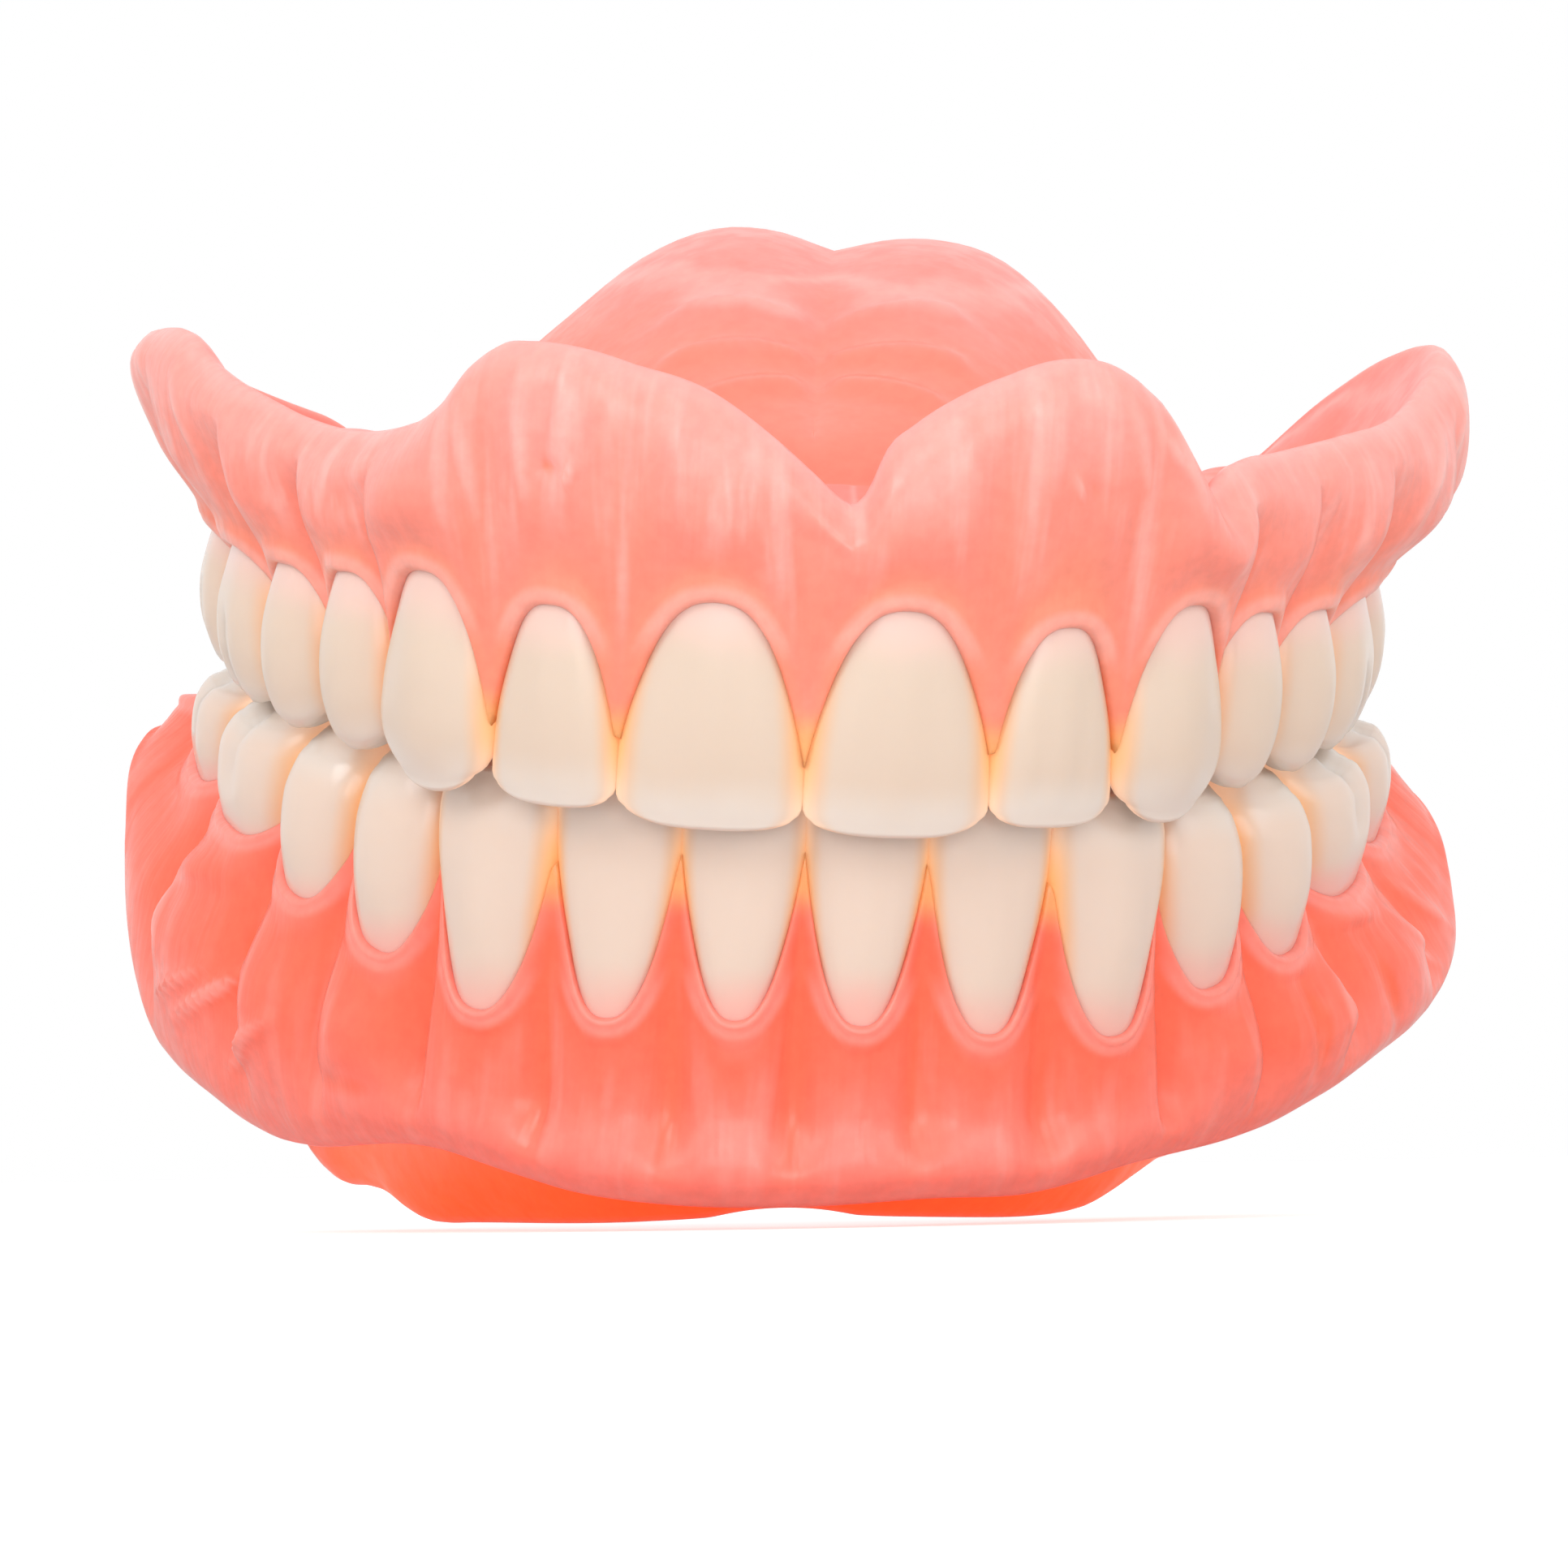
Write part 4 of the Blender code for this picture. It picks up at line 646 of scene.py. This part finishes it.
def upperGum():
    jaw, base = jaws["upper"], upperBase
    place, far, s, end, border, borderZ = gumColumns(jaw, base)
    count = len(place)
    wall, half = base["wall"], base["ridge"] / 2 * (1 - base["ridgeTaper"] * end)
    roundZ = borderZ - 0.5 * wall
    marginZ, marginR = marginLine(jaw, base, place, "facial")
    marginR = marginR + (border - base["endInset"] - marginR) * end
    neck = curveAt(base["neckHeight"], far)
    flank = curveAt(base["flankReach"], place) + curveAt(base["rootBulge"], far) * bulgeAt(place)
    flankZ = neck + base["flankShare"] * (borderZ - neck)
    crest, rim = curveAt(base["crest"], far), curveAt(base["rim"], far)
    trough = np.minimum(curveAt(base["trough"], far), borderZ - base["troughDepth"])
    (outerOut, outerUp), (innerOut, innerUp) = base["outerWall"], base["innerWall"]
    facial = facialControls(jaw, place, marginZ, marginR, flank, flankZ)
    facial += [(border, roundZ), (border - 0.5 * wall, borderZ), (border - wall, roundZ),
               (np.minimum(crest + outerOut * half, border - wall - base["troughGap"]),
                trough + outerUp * (roundZ - trough)),
               (crest, trough), (crest - innerOut * half, trough + innerUp * (rim - trough)),
               (crest - base["rimOut"] * half, rim)]
    tongueZ, tongueR = marginLine(jaw, base, place, "tongue")
    tongue = sideReach(jaw, place, "tongue")
    tongueNeck = curveAt(base["tongueNeck"], far)
    tongueR = tongueR + (tongue + base["endTongue"] - tongueR) * end
    (lipIn, lipUp), (footIn, footUp), (slopeIn, slopeUp) = (
        gumEdge["tongueLip"], base["tongueFoot"], base["tongueSlope"])
    under = [facial[0], (tongueR + lipIn, tongueZ + lipUp), (tongueR, tongueZ),
             (tongue - footIn, tongueNeck + footUp),
             (tongue - slopeIn, np.minimum(tongueNeck + slopeUp, rim - base["plate"]))]
    facialRows = rowList((3, 4, nearMargin, 14, 14, 4, 4, 5, 4, 4, 4))
    underRows = rowList((8, 8, nearMargin, 16, 17))
    facialLine = carried(asControls(facial, count), facialRows)
    underLine = carried(asControls(under, count), underRows)
    farBand, onFace, tip, fold = beadFace(jaw, base, facialLine, facialRows, s, marginZ, neck, end)
    onTongue = underRows >= 2
    tongueBand = beadTongue(base, underLine, onTongue, s, tongueZ, end)
    facialPoints = archPoint(jaw, s, facialLine[..., 0], facialLine[..., 1])
    underPoints = archPoint(jaw, s, underLine[..., 0], underLine[..., 1])
    # the plate of the palate runs from the ridge to the midline
    steps = base["palateRows"]
    t = np.linspace(0, 1, steps + 1)[1:, None]
    back = far / base["end"]
    rise = np.where(place < 0, curveAt(base["profileRight"], t), curveAt(base["profileLeft"], t))
    rise = (1 - back) * curveAt(base["profileFront"], t) + back * rise
    spineX = base["spineShift"] * back
    spineY = base["spineStart"] + (base["spineEnd"] - base["spineStart"]) * back
    spineZ = curveAt(base["dome"], far)
    plates = []
    for side, top in ((facialPoints[-1], spineZ), (underPoints[-1], spineZ - base["plate"])):
        plates.append(np.stack([side[:, 0] * (1 - t) + spineX * t, side[:, 1] + (spineY - side[:, 1]) * t,
                                side[:, 2] + (top - side[:, 2]) * rise], -1))
    for start, stop in base["rugae"]:
        away = besideLine(plates[0][..., 0], plates[0][..., 1], start, stop)[1]
        plates[0][..., 2] += base["rugaHeight"] * bell(away, 0, base["rugaWidth"])
    grid = np.concatenate([plates[0][::-1], facialPoints[::-1], underPoints[1:], plates[1]])
    onFacial = slice(steps, steps + len(facialRows))
    onUnder = slice(steps + len(facialRows), steps + len(facialRows) + len(underRows) - 1)
    riseShare, band = np.ones((len(grid), count)), np.full((len(grid), count), 5.0)
    inner, hollow, tips, folds = np.zeros((4, len(grid), count))
    riseShare[:steps] = np.clip((plates[0][::-1][..., 2] - base["domeFoot"]) / base["domeHeight"], 0, 1)
    riseShare[onFacial] = np.clip((facialLine[..., 1] - marginZ) / (borderZ - marginZ), 0, 1)[::-1]
    riseShare[onUnder] = np.clip((underLine[1:, :, 1] - tongueZ) / base["tongueFade"], 0, 1)
    band[onFacial] = np.where(onFace[:, None], farBand, 5)[::-1]
    band[onFacial][facialRows[::-1] < 2] = 0
    band[onUnder] = np.where(onTongue[:, None], tongueBand, 0)[1:]
    inner[:steps] = 1
    inner[onFacial] = ease(*gumEdge["innerRows"], facialRows)[::-1, None] * np.ones(count)
    # the hollows between the root swellings, which the material darkens as painted shade
    hollow[onFacial] = (0.5 - 0.5 * bulgeAt(place)) * bell(facialRows, *gumEdge["hollowRow"])[::-1, None]
    tips[onFacial], folds[onFacial] = np.maximum(tip, 0)[::-1], fold[::-1]
    masks = {"gumRise": riseShare, "gumBand": band, "gumInner": inner, "gumHollowShade": hollow, "gumTip": tips,
             "gumFold": folds, "gumAlong": np.broadcast_to(s, hollow.shape)}
    return finishedGum("upperGum", grid, masks, lambda edge: (edge + edge[::-1]) / 2, base["endRadius"])


def tableUnder(x, y):
    # height of the table in the bite frame, under a point
    pitch, roll = math.radians(rest["pitch"]), math.radians(rest["roll"])
    level = (lowerBase["flangeLevel"] + x * math.sin(roll)) / math.cos(roll)
    return (level - y * math.sin(pitch)) / math.cos(pitch)


def lowerGum():
    jaw, base = jaws["lower"], lowerBase
    place, far, s, end, border, borderZ = gumColumns(jaw, base)
    count = len(place)
    inner = curveAt(base["tongueReach"], place)
    wall = base["wall"] * (1 - base["wallTaper"] * end)
    half = base["ridge"] / 2 * (1 - base["ridgeTaper"] * end)
    roundZ = borderZ + 0.5 * wall
    foot = archPoint(jaw, s, inner + 0.5 * wall, 0)
    innerZ = tableUnder(foot[:, 0], foot[:, 1]) + curveAt(base["tongueLift"], place)
    innerRound = innerZ + 0.5 * wall
    neck = curveAt(base["neckHeight"], place)
    crest = curveAt(base["crest"], far)
    depth = base["troughDepth"]
    trough = np.maximum(np.maximum(curveAt(base["trough"], far), borderZ + depth), innerZ + depth)
    trough = np.minimum(trough, neck - base["underNeck"] * (1 - base["underNeckTaper"] * end))
    marginZ, marginR = marginLine(jaw, base, place, "facial")
    marginR = marginR + (border - base["endInset"] - marginR) * end
    flank = curveAt(base["flankReach"], place) + curveAt(base["rootBulge"], far) * bulgeAt(place)
    flankZ = neck + base["flankShare"] * (borderZ - neck)
    tongueZ, tongueR = marginLine(jaw, base, place, "tongue")
    tongue = sideReach(jaw, place, "tongue") * (1 - end) + (inner + base["endTongue"]) * end
    tongueR = tongueR + (tongue + base["endMargin"] - tongueR) * end
    (outerOut, outerUp), (innerOut, innerUp) = base["outerWall"], base["innerWall"]
    (lipIn, lipUp), (footIn, footDown) = gumEdge["tongueLip"], base["tongueFoot"]
    ring = facialControls(jaw, place, marginZ, marginR, flank, flankZ)
    ring[0] = (ring[0][0] * (1 - end) + (border + inner) / 2 * end, ring[0][1])
    ring += [(border, roundZ), (border - 0.5 * wall, borderZ), (border - wall, roundZ),
             (crest + outerOut * half, trough + outerUp * (roundZ - trough)), (crest, trough),
             (crest - innerOut * half, trough + innerUp * (innerRound - trough)), (inner + wall, innerRound),
             (inner + 0.5 * wall, innerZ), (inner, innerRound),
             (0.5 * (inner + tongue) - base["flangeHollow"] * (1 - end), 0.5 * (innerRound + neck)),
             (tongue - footIn * (1 - end), tongueZ - footDown), (tongueR, tongueZ),
             (tongueR + lipIn, tongueZ - lipUp), ring[0]]
    tongueNear = (0,) + tuple(round(1 - f, 3) for f in reversed(nearMargin[1:]))
    ringRows = rowList((3, 4, nearMargin, 14, 14, 4, 4, 5, 5, 5, 5, 4, 4, 8, 8, tongueNear, 4, 3))
    line = carried(asControls(ring, count), ringRows)
    farBand, onFace, tip, fold = beadFace(jaw, base, line, ringRows, s, marginZ, neck, end)
    onTongue = (ringRows > 13.2) & (ringRows <= 16)
    tongueBand = beadTongue(base, line, onTongue, s, tongueZ, end)
    z, outward, within = line[..., 1], (ringRows < 6)[:, None], (ringRows > 12)[:, None]
    riseShare = np.where(outward, np.clip((z - marginZ) / (borderZ - marginZ), 0, 1), 1.0)
    riseShare = np.where(within, np.clip((z - tongueZ) / (innerZ - tongueZ), 0, 1), riseShare)
    band = np.where(onFace[:, None], farBand, np.where(onTongue[:, None], tongueBand, 5.0))
    band[(ringRows < 2) | (ringRows > 16)] = 0
    fitting = ease(*gumEdge["innerRows"], ringRows) * (1 - ease(11.5, 12.5, ringRows))
    fitting = fitting[:, None] * np.ones(count)
    # the hollows between the root swellings, which the material darkens as painted shade
    hollow = (0.5 - 0.5 * bulgeAt(place)) * bell(ringRows, *gumEdge["hollowRow"])[:, None]
    tips = np.where(outward, np.maximum(tip, 0), 0)
    masks = {"gumRise": riseShare, "gumBand": band, "gumInner": fitting, "gumHollowShade": hollow, "gumTip": tips,
             "gumFold": fold, "gumAlong": np.broadcast_to(s, hollow.shape)}
    grid = archPoint(jaw, s, line[..., 0], z)
    return finishedGum("lowerGum", grid, masks, lambda edge: np.broadcast_to(edge.mean(0), edge.shape),
                       base["endRadius"])


# colours as they are seen in even light, and how strongly each mark of the surface shows.
# The hollow tone is painted shade in the recesses between the root swellings, the rim tone a painted
# highlight along the border's top, the amber tone a painted glow at the papillae's tips, and the streak tone
# both the acrylic's pale fibres and a painted highlight on the raised folds
gumLook = {
    "upper": {
        "paintedAmberFrom": 4.4, "turn": (0.35, 0.85), "hollowShadeShare": 0.5, "streakShare": 0.6, "arcShare": 0.35,
        "innerGlow": 0,
        "tones": {
            "neck": (255, 143, 114), "middle": (255, 142, 124), "border": (255, 157, 145),
            "hollow": (255, 132, 102), "band": (255, 164, 146), "inner": (255, 138, 126),
            "deep": (255, 130, 108), "streak": (255, 187, 178), "rim": (255, 172, 164),
            "paintedAmber": (255, 172, 108),
        },
    },
    "lower": {
        "paintedAmberFrom": 4.8, "turn": (0.22, 0.8), "hollowShadeShare": 0.9, "streakShare": 0.4, "arcShare": 0,
        "innerGlow": 0.6,
        "tones": {
            "neck": (255, 132, 114), "middle": (255, 108, 81), "border": (255, 126, 110),
            "hollow": (255, 104, 68), "band": (255, 138, 122), "inner": (255, 100, 50), "deep": (255, 92, 44),
            "streak": (255, 156, 144), "rim": (255, 146, 134), "paintedAmber": (255, 164, 100),
        },
    },
}
# the side tone is painted amber: it stands in for the light through the thin acrylic and the shade in the
# gaps between the crowns
toothLook = {
    "upper": {
        "edge": (236, 221, 208), "body": (233, 209, 188), "neck": (249, 210, 196), "side": (255, 190, 128),
    },
    "lower": {
        "edge": (236, 221, 208), "body": (237, 212, 194), "neck": (251, 188, 174), "side": (255, 188, 122),
    },
}
exposure = {"gum": 1.1, "tooth": 1.2}


def asSeen(colour, stuff):
    # a shader colour that comes out as the colour seen
    linear = [((v / 255 + 0.055) / 1.055) ** 2.4 for v in colour]
    return (*[v / exposure[stuff] for v in linear], 1)


def addNode(tree, kind, inputs, **settings):
    made = tree.nodes.new("ShaderNode" + kind)
    for key, value in settings.items():
        setattr(made, key, value)
    for key, value in inputs.items():
        if isinstance(value, bpy.types.NodeSocket):
            tree.links.new(value, made.inputs[key])
        else:
            made.inputs[key].default_value = value
    return made


def maskOf(tree, name):
    return addNode(tree, "Attribute", {}, attribute_name=name).outputs["Fac"]


def ranged(tree, value, low, high, toLow=0.0, toHigh=1.0):
    spread = {"Value": value, "From Min": low, "From Max": high, "To Min": toLow, "To Max": toHigh}
    return addNode(tree, "MapRange", spread, interpolation_type="SMOOTHSTEP").outputs["Result"]


def reckon(tree, operation, first, second, third=0.0):
    return addNode(tree, "Math", {0: first, 1: second, 2: third}, operation=operation).outputs[0]


def blended(tree, share, first, second):
    return addNode(tree, "Mix", {0: share, 6: first, 7: second}, data_type="RGBA").outputs[2]


def noiseOf(tree, vector, scale, detail=2.0):
    return addNode(tree, "TexNoise", {"Vector": vector, "Scale": scale, "Detail": detail}).outputs["Fac"]


def newMaterial(name):
    material = bpy.data.materials.new(name)
    material.use_nodes = True
    tree = material.node_tree
    return material, tree, tree.nodes["Principled BSDF"], addNode(tree, "TexCoord", {}).outputs["Object"]


# where each mark of the gum begins and ends on its mask, and the sizes of its noises and bumps
gumFinish = {
    "blotchScale": 140, "grainScale": 620, "fineScale": 1400, "streakAlong": 0.55, "streakDown": 0.8,
    "wander": 0.5, "foldShade": (-0.08, -0.35), "foldHighlight": (0.08, 0.4, 0.0, 0.75), "paleStreak": (0.48, 0.72),
    "paleRise": (0.12, 0.5), "lipBand": (1.1, 0.55), "lipTip": (3.0, 0.8), "paintedAmberSpan": 1.8,
    "rimHighlightRise": (0.9, 1.0, 0.0, 0.7), "palateRise": (0.35, 0.8), "arcRise": (0.66, 0.76, 0.86),
    "speck": (0.2, 0.8, 0.94, 1.05), "glowEnds": (53.0, 46.0), "roughness": (0.3, 0.7, 0.29, 0.42),
    "streakDepth": 0.35, "grainDepth": 0.05, "fineDepth": 0.02, "bumpStrength": 0.6,
    "shader": {"Subsurface Weight": 0.4, "Subsurface Radius": (1.0, 0.3, 0.18), "Subsurface Scale": 0.0012,
               "Specular IOR Level": 0.45, "Coat Weight": 0.15, "Coat Roughness": 0.25},
}


def setShader(shader, values):
    shader.subsurface_method = "BURLEY"
    for name, value in values.items():
        shader.inputs[name].default_value = value


def gumMaterial(jawName):
    look, finish = gumLook[jawName], gumFinish
    tone = {name: asSeen(value, "gum") for name, value in look["tones"].items()}
    material, tree, shader, spot = newMaterial(f"{jawName}GumAcrylic")
    rise, band, inner, hollow, along, tip, fold = (maskOf(tree, name) for name in (
        "gumRise", "gumBand", "gumInner", "gumHollowShade", "gumAlong", "gumTip", "gumFold"))

    def both(first, second):
        return reckon(tree, "MULTIPLY", first, second)

    outer = reckon(tree, "SUBTRACT", 1.0, inner)
    blotch = noiseOf(tree, spot, finish["blotchScale"])
    grain = noiseOf(tree, spot, finish["grainScale"])
    fine = noiseOf(tree, spot, finish["fineScale"], 3.0)
    lines = {"X": both(along, finish["streakAlong"]), "Y": both(rise, finish["streakDown"])}
    streak = noiseOf(tree, addNode(tree, "CombineXYZ", lines).outputs[0], 1.0, 3.0)
    wander = reckon(tree, "MULTIPLY_ADD", blotch, finish["wander"], -finish["wander"] / 2)
    height = reckon(tree, "ADD", rise, wander)
    colour = blended(tree, ranged(tree, height, 0.0, look["turn"][0]), tone["neck"], tone["middle"])
    colour = blended(tree, ranged(tree, height, *look["turn"]), colour, tone["border"])
    # painted shade: a darker, more orange tone in the hollows between the root swellings and along the sunken
    # folds
    paintedShade = reckon(tree, "MAXIMUM", both(hollow, look["hollowShadeShare"]), ranged(tree, fold, *finish["foldShade"]))
    colour = blended(tree, paintedShade, colour, tone["hollow"])
    # pale streaks: the acrylic's own fibres, and a painted highlight along the raised folds
    streakAndHighlight = both(ranged(tree, streak, *finish["paleStreak"]), look["streakShare"])
    streakAndHighlight = both(reckon(tree, "MAXIMUM", streakAndHighlight, ranged(tree, fold, *finish["foldHighlight"])), outer)
    colour = blended(tree, both(streakAndHighlight, ranged(tree, rise, *finish["paleRise"])), colour, tone["streak"])
    lip = both(ranged(tree, band, *finish["lipBand"]), ranged(tree, tip, *finish["lipTip"]))
    colour = blended(tree, both(lip, outer), colour, tone["band"])
    # painted glow: an amber tone at the papillae's tips stands in for light passing through the thin acrylic
    # between the crowns
    paintedAmber = ranged(tree, tip, look["paintedAmberFrom"], look["paintedAmberFrom"] + finish["paintedAmberSpan"])
    colour = blended(tree, paintedAmber, colour, tone["paintedAmber"])
    # painted highlight: a paler line along the top of the border
    colour = blended(tree, ranged(tree, rise, *finish["rimHighlightRise"]), colour, tone["rim"])
    within = blended(tree, ranged(tree, height, *finish["palateRise"]), tone["deep"], tone["inner"])
    low, middle, high = finish["arcRise"]
    arc = both(ranged(tree, height, low, middle), ranged(tree, height, high, middle, 0.0, look["arcShare"]))
    within = blended(tree, arc, within, tone["streak"])
    colour = blended(tree, inner, colour, within)
    speck = ranged(tree, fine, *finish["speck"])
    shade = addNode(tree, "VectorMath", {0: colour, "Scale": speck}, operation="SCALE").outputs[0]
    tree.links.new(shade, shader.inputs["Base Color"])
    if look["innerGlow"]:
        # a painted glow: emission on the fitting side stands in for the light that a thin flange lets through
        # from behind, away from its back ends
        ends = finish["glowEnds"]
        ahead = ranged(tree, reckon(tree, "ABSOLUTE", along, 0.0), *ends, 0.0, look["innerGlow"])
        tree.links.new(shade, shader.inputs["Emission Color"])
        tree.links.new(both(inner, ahead), shader.inputs["Emission Strength"])
    tree.links.new(ranged(tree, grain, *finish["roughness"]), shader.inputs["Roughness"])
    normal = None
    for source, depth in ((both(streak, outer), "streakDepth"), (grain, "grainDepth"), (fine, "fineDepth")):
        bump = addNode(tree, "Bump", {"Height": source, "Distance": finish[depth] * mm,
                                      "Strength": finish["bumpStrength"]})
        if normal:
            tree.links.new(normal, bump.inputs["Normal"])
        normal = bump.outputs[0]
    tree.links.new(normal, shader.inputs["Normal"])
    setShader(shader, finish["shader"])
    return material


# marks of the crowns against the share of their length and of their width
toothFinish = {
    "blotchScale": 160, "wander": 0.24, "edgeTurn": (0.03, 0.3), "neckTurn": (0.72, 1.0),
    "paintedAmberSide": (0.66, 0.96), "paintedAmberShare": (0.0, 0.4, 0.45, 1.0), "glowSide": (0.8, 1.0, 0.0, 0.3),
    "roughness": (0.3, 0.7, 0.29, 0.36), "bumpScale": 330, "bumpDepth": 0.01, "bumpStrength": 0.3,
    "shader": {"Subsurface Weight": 0.3, "Subsurface Radius": (1.0, 0.6, 0.32), "Subsurface Scale": 0.0008,
               "Specular IOR Level": 0.5, "Coat Weight": 0.35, "Coat Roughness": 0.12},
}


def toothMaterial(jawName):
    finish = toothFinish
    tone = {name: asSeen(value, "tooth") for name, value in toothLook[jawName].items()}
    material, tree, shader, spot = newMaterial(f"{jawName}ToothAcrylic")
    share, side = maskOf(tree, "crownShare"), maskOf(tree, "crownSide")
    blotch = noiseOf(tree, spot, finish["blotchScale"])
    wander = reckon(tree, "MULTIPLY_ADD", blotch, finish["wander"], -finish["wander"] / 2)
    level = reckon(tree, "ADD", share, wander)
    colour = blended(tree, ranged(tree, level, *finish["edgeTurn"]), tone["edge"], tone["body"])
    # painted amber on the crowns' sides: it stands in for the light through the thin acrylic and the shade in
    # the gaps between the crowns
    paintedAmber = ranged(tree, share, *finish["paintedAmberShare"])
    paintedAmber = reckon(tree, "MULTIPLY", ranged(tree, side, *finish["paintedAmberSide"]), paintedAmber)
    colour = blended(tree, paintedAmber, colour, tone["side"])
    colour = blended(tree, ranged(tree, level, *finish["neckTurn"]), colour, tone["neck"])
    tree.links.new(colour, shader.inputs["Base Color"])
    # a painted glow: emission on the crowns' sides stands in for the light that thin acrylic carries into the
    # narrow gaps between them
    tree.links.new(colour, shader.inputs["Emission Color"])
    tree.links.new(ranged(tree, side, *finish["glowSide"]), shader.inputs["Emission Strength"])
    tree.links.new(ranged(tree, blotch, *finish["roughness"]), shader.inputs["Roughness"])
    rough = noiseOf(tree, spot, finish["bumpScale"], 1.0)
    rough = addNode(tree, "Bump", {"Height": rough, "Distance": finish["bumpDepth"] * mm,
                                   "Strength": finish["bumpStrength"]})
    tree.links.new(rough.outputs[0], shader.inputs["Normal"])
    setShader(shader, finish["shader"])
    return material


for jawName, makeGum in (("upper", upperGum), ("lower", lowerGum)):
    gum = makeGum()
    gum.data.materials.append(gumMaterial(jawName))
    crownMaterial = toothMaterial(jawName)
    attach(gum, "root")
    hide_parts(f"{jawName}_base")
    print(f"{jawName} base made")
    for index in range(7):
        for side in (-1, 1):
            tooth = makeTooth(jaws[jawName], index, side)
            tooth.data.materials.append(crownMaterial)
            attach(tooth, "root")
            sideName = "right" if side < 0 else "left"
            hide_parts(f"{jawName}_{sideName}_{jaws[jawName]['teeth'][index][0]}")
    print(f"{jawName} teeth made")


# floor, lamps and camera
studio = {
    "floorSize": 6.0, "floorLevel": -0.0002, "floorTone": (0.7, 0.7, 0.7, 1), "floorRoughness": 0.8,
    "floorGlow": 0.6, "worldStrength": 0.95,
}
lamps = {
    "keyLamp": {"place": (-0.36, -0.42, 0.4), "aim": (0, 0, 0.03), "size": 0.35, "power": 1.15},
    "fillLamp": {"place": (0.35, -0.4, 0.3), "aim": (0, 0, 0.03), "size": 0.35, "power": 0.55},
    "lowLamp": {"place": (0.0, -0.55, 0.06), "aim": (0, 0, 0.01), "size": 0.35, "power": 0.9},
}

nothingSelected()
bpy.ops.mesh.primitive_plane_add(size=studio["floorSize"], location=(0, 0, studio["floorLevel"]))
floor = bpy.context.object
floor.name = "floor"
floorMaterial = bpy.data.materials.new("paleFloor")
floorMaterial.use_nodes = True
floor.data.materials.append(floorMaterial)
tree = floorMaterial.node_tree
shader = tree.nodes["Principled BSDF"]
shader.inputs["Base Color"].default_value = studio["floorTone"]
shader.inputs["Roughness"].default_value = studio["floorRoughness"]
shader.inputs["Emission Color"].default_value = (1, 1, 1, 1)
seen = addNode(tree, "LightPath", {}).outputs
glow = reckon(tree, "MULTIPLY", seen["Is Camera Ray"], studio["floorGlow"])
tree.links.new(glow, shader.inputs["Emission Strength"])

# the world shows plain white behind the object, and lights it a little less
world = bpy.data.worlds.new("softWorld")
scene.world = world
world.use_nodes = True
tree = world.node_tree
sky = tree.nodes["Background"]
sky.inputs["Color"].default_value = (1, 1, 1, 1)
seen = addNode(tree, "LightPath", {}).outputs
white = reckon(tree, "MAXIMUM", seen["Is Camera Ray"], seen["Is Transmission Ray"])
white = reckon(tree, "MAXIMUM", white, seen["Is Glossy Ray"])
strength = addNode(tree, "MapRange", {"Value": white, "To Min": studio["worldStrength"], "To Max": 1.0})
tree.links.new(strength.outputs["Result"], sky.inputs["Strength"])

for name, look in lamps.items():
    lamp = bpy.data.lights.new(name, "AREA")
    lamp.shape = "DISK"
    lamp.size = look["size"]
    lamp.energy = look["power"]
    stand = bpy.data.objects.new(name, lamp)
    scene.collection.objects.link(stand)
    stand.location = look["place"]
    stand.rotation_euler = (Vector(look["aim"]) - Vector(look["place"])).to_track_quat("-Z", "Y").to_euler()
print("floor and lamps made")

# turns in degrees, distance and pivot in millimetres, focal length, offset and frame in pixels
camera = {
    "azimuth": -1.34, "elevation": 8.76, "roll": -2.72, "distance": 300.0, "pivot": (0, 20, 0), "focal": 7400,
    "offCentre": (12.5, -15.9), "frame": 1932, "sensor": 36, "clipStart": 0.01, "clipEnd": 20,
}
a, e, r = (math.radians(camera[k]) for k in ("azimuth", "elevation", "roll"))
back = Vector((math.sin(a) * math.cos(e), -math.cos(a) * math.cos(e), math.sin(e)))
right = Vector((math.cos(a), math.sin(a), 0))
upward = back.cross(right)
sideways = right * math.cos(r) - upward * math.sin(r)
upright = right * math.sin(r) + upward * math.cos(r)
turned = Matrix.Identity(4)
for k, axis in enumerate((sideways, upright, back)):
    for row in range(3):
        turned[row][k] = axis[row]
turned.translation = (Vector(camera["pivot"]) + back * camera["distance"]) * mm
lens = bpy.data.cameras.new("photoCamera")
lens.sensor_width = camera["sensor"]
lens.lens = camera["focal"] * camera["sensor"] / camera["frame"]
lens.shift_x = -camera["offCentre"][0] / camera["frame"]
lens.shift_y = camera["offCentre"][1] / camera["frame"]
lens.clip_start, lens.clip_end = camera["clipStart"], camera["clipEnd"]
eye = bpy.data.objects.new("photoCamera", lens)
scene.collection.objects.link(eye)
eye.matrix_world = restPlace @ turned
scene.camera = eye
scene.view_settings.view_transform = "Standard"
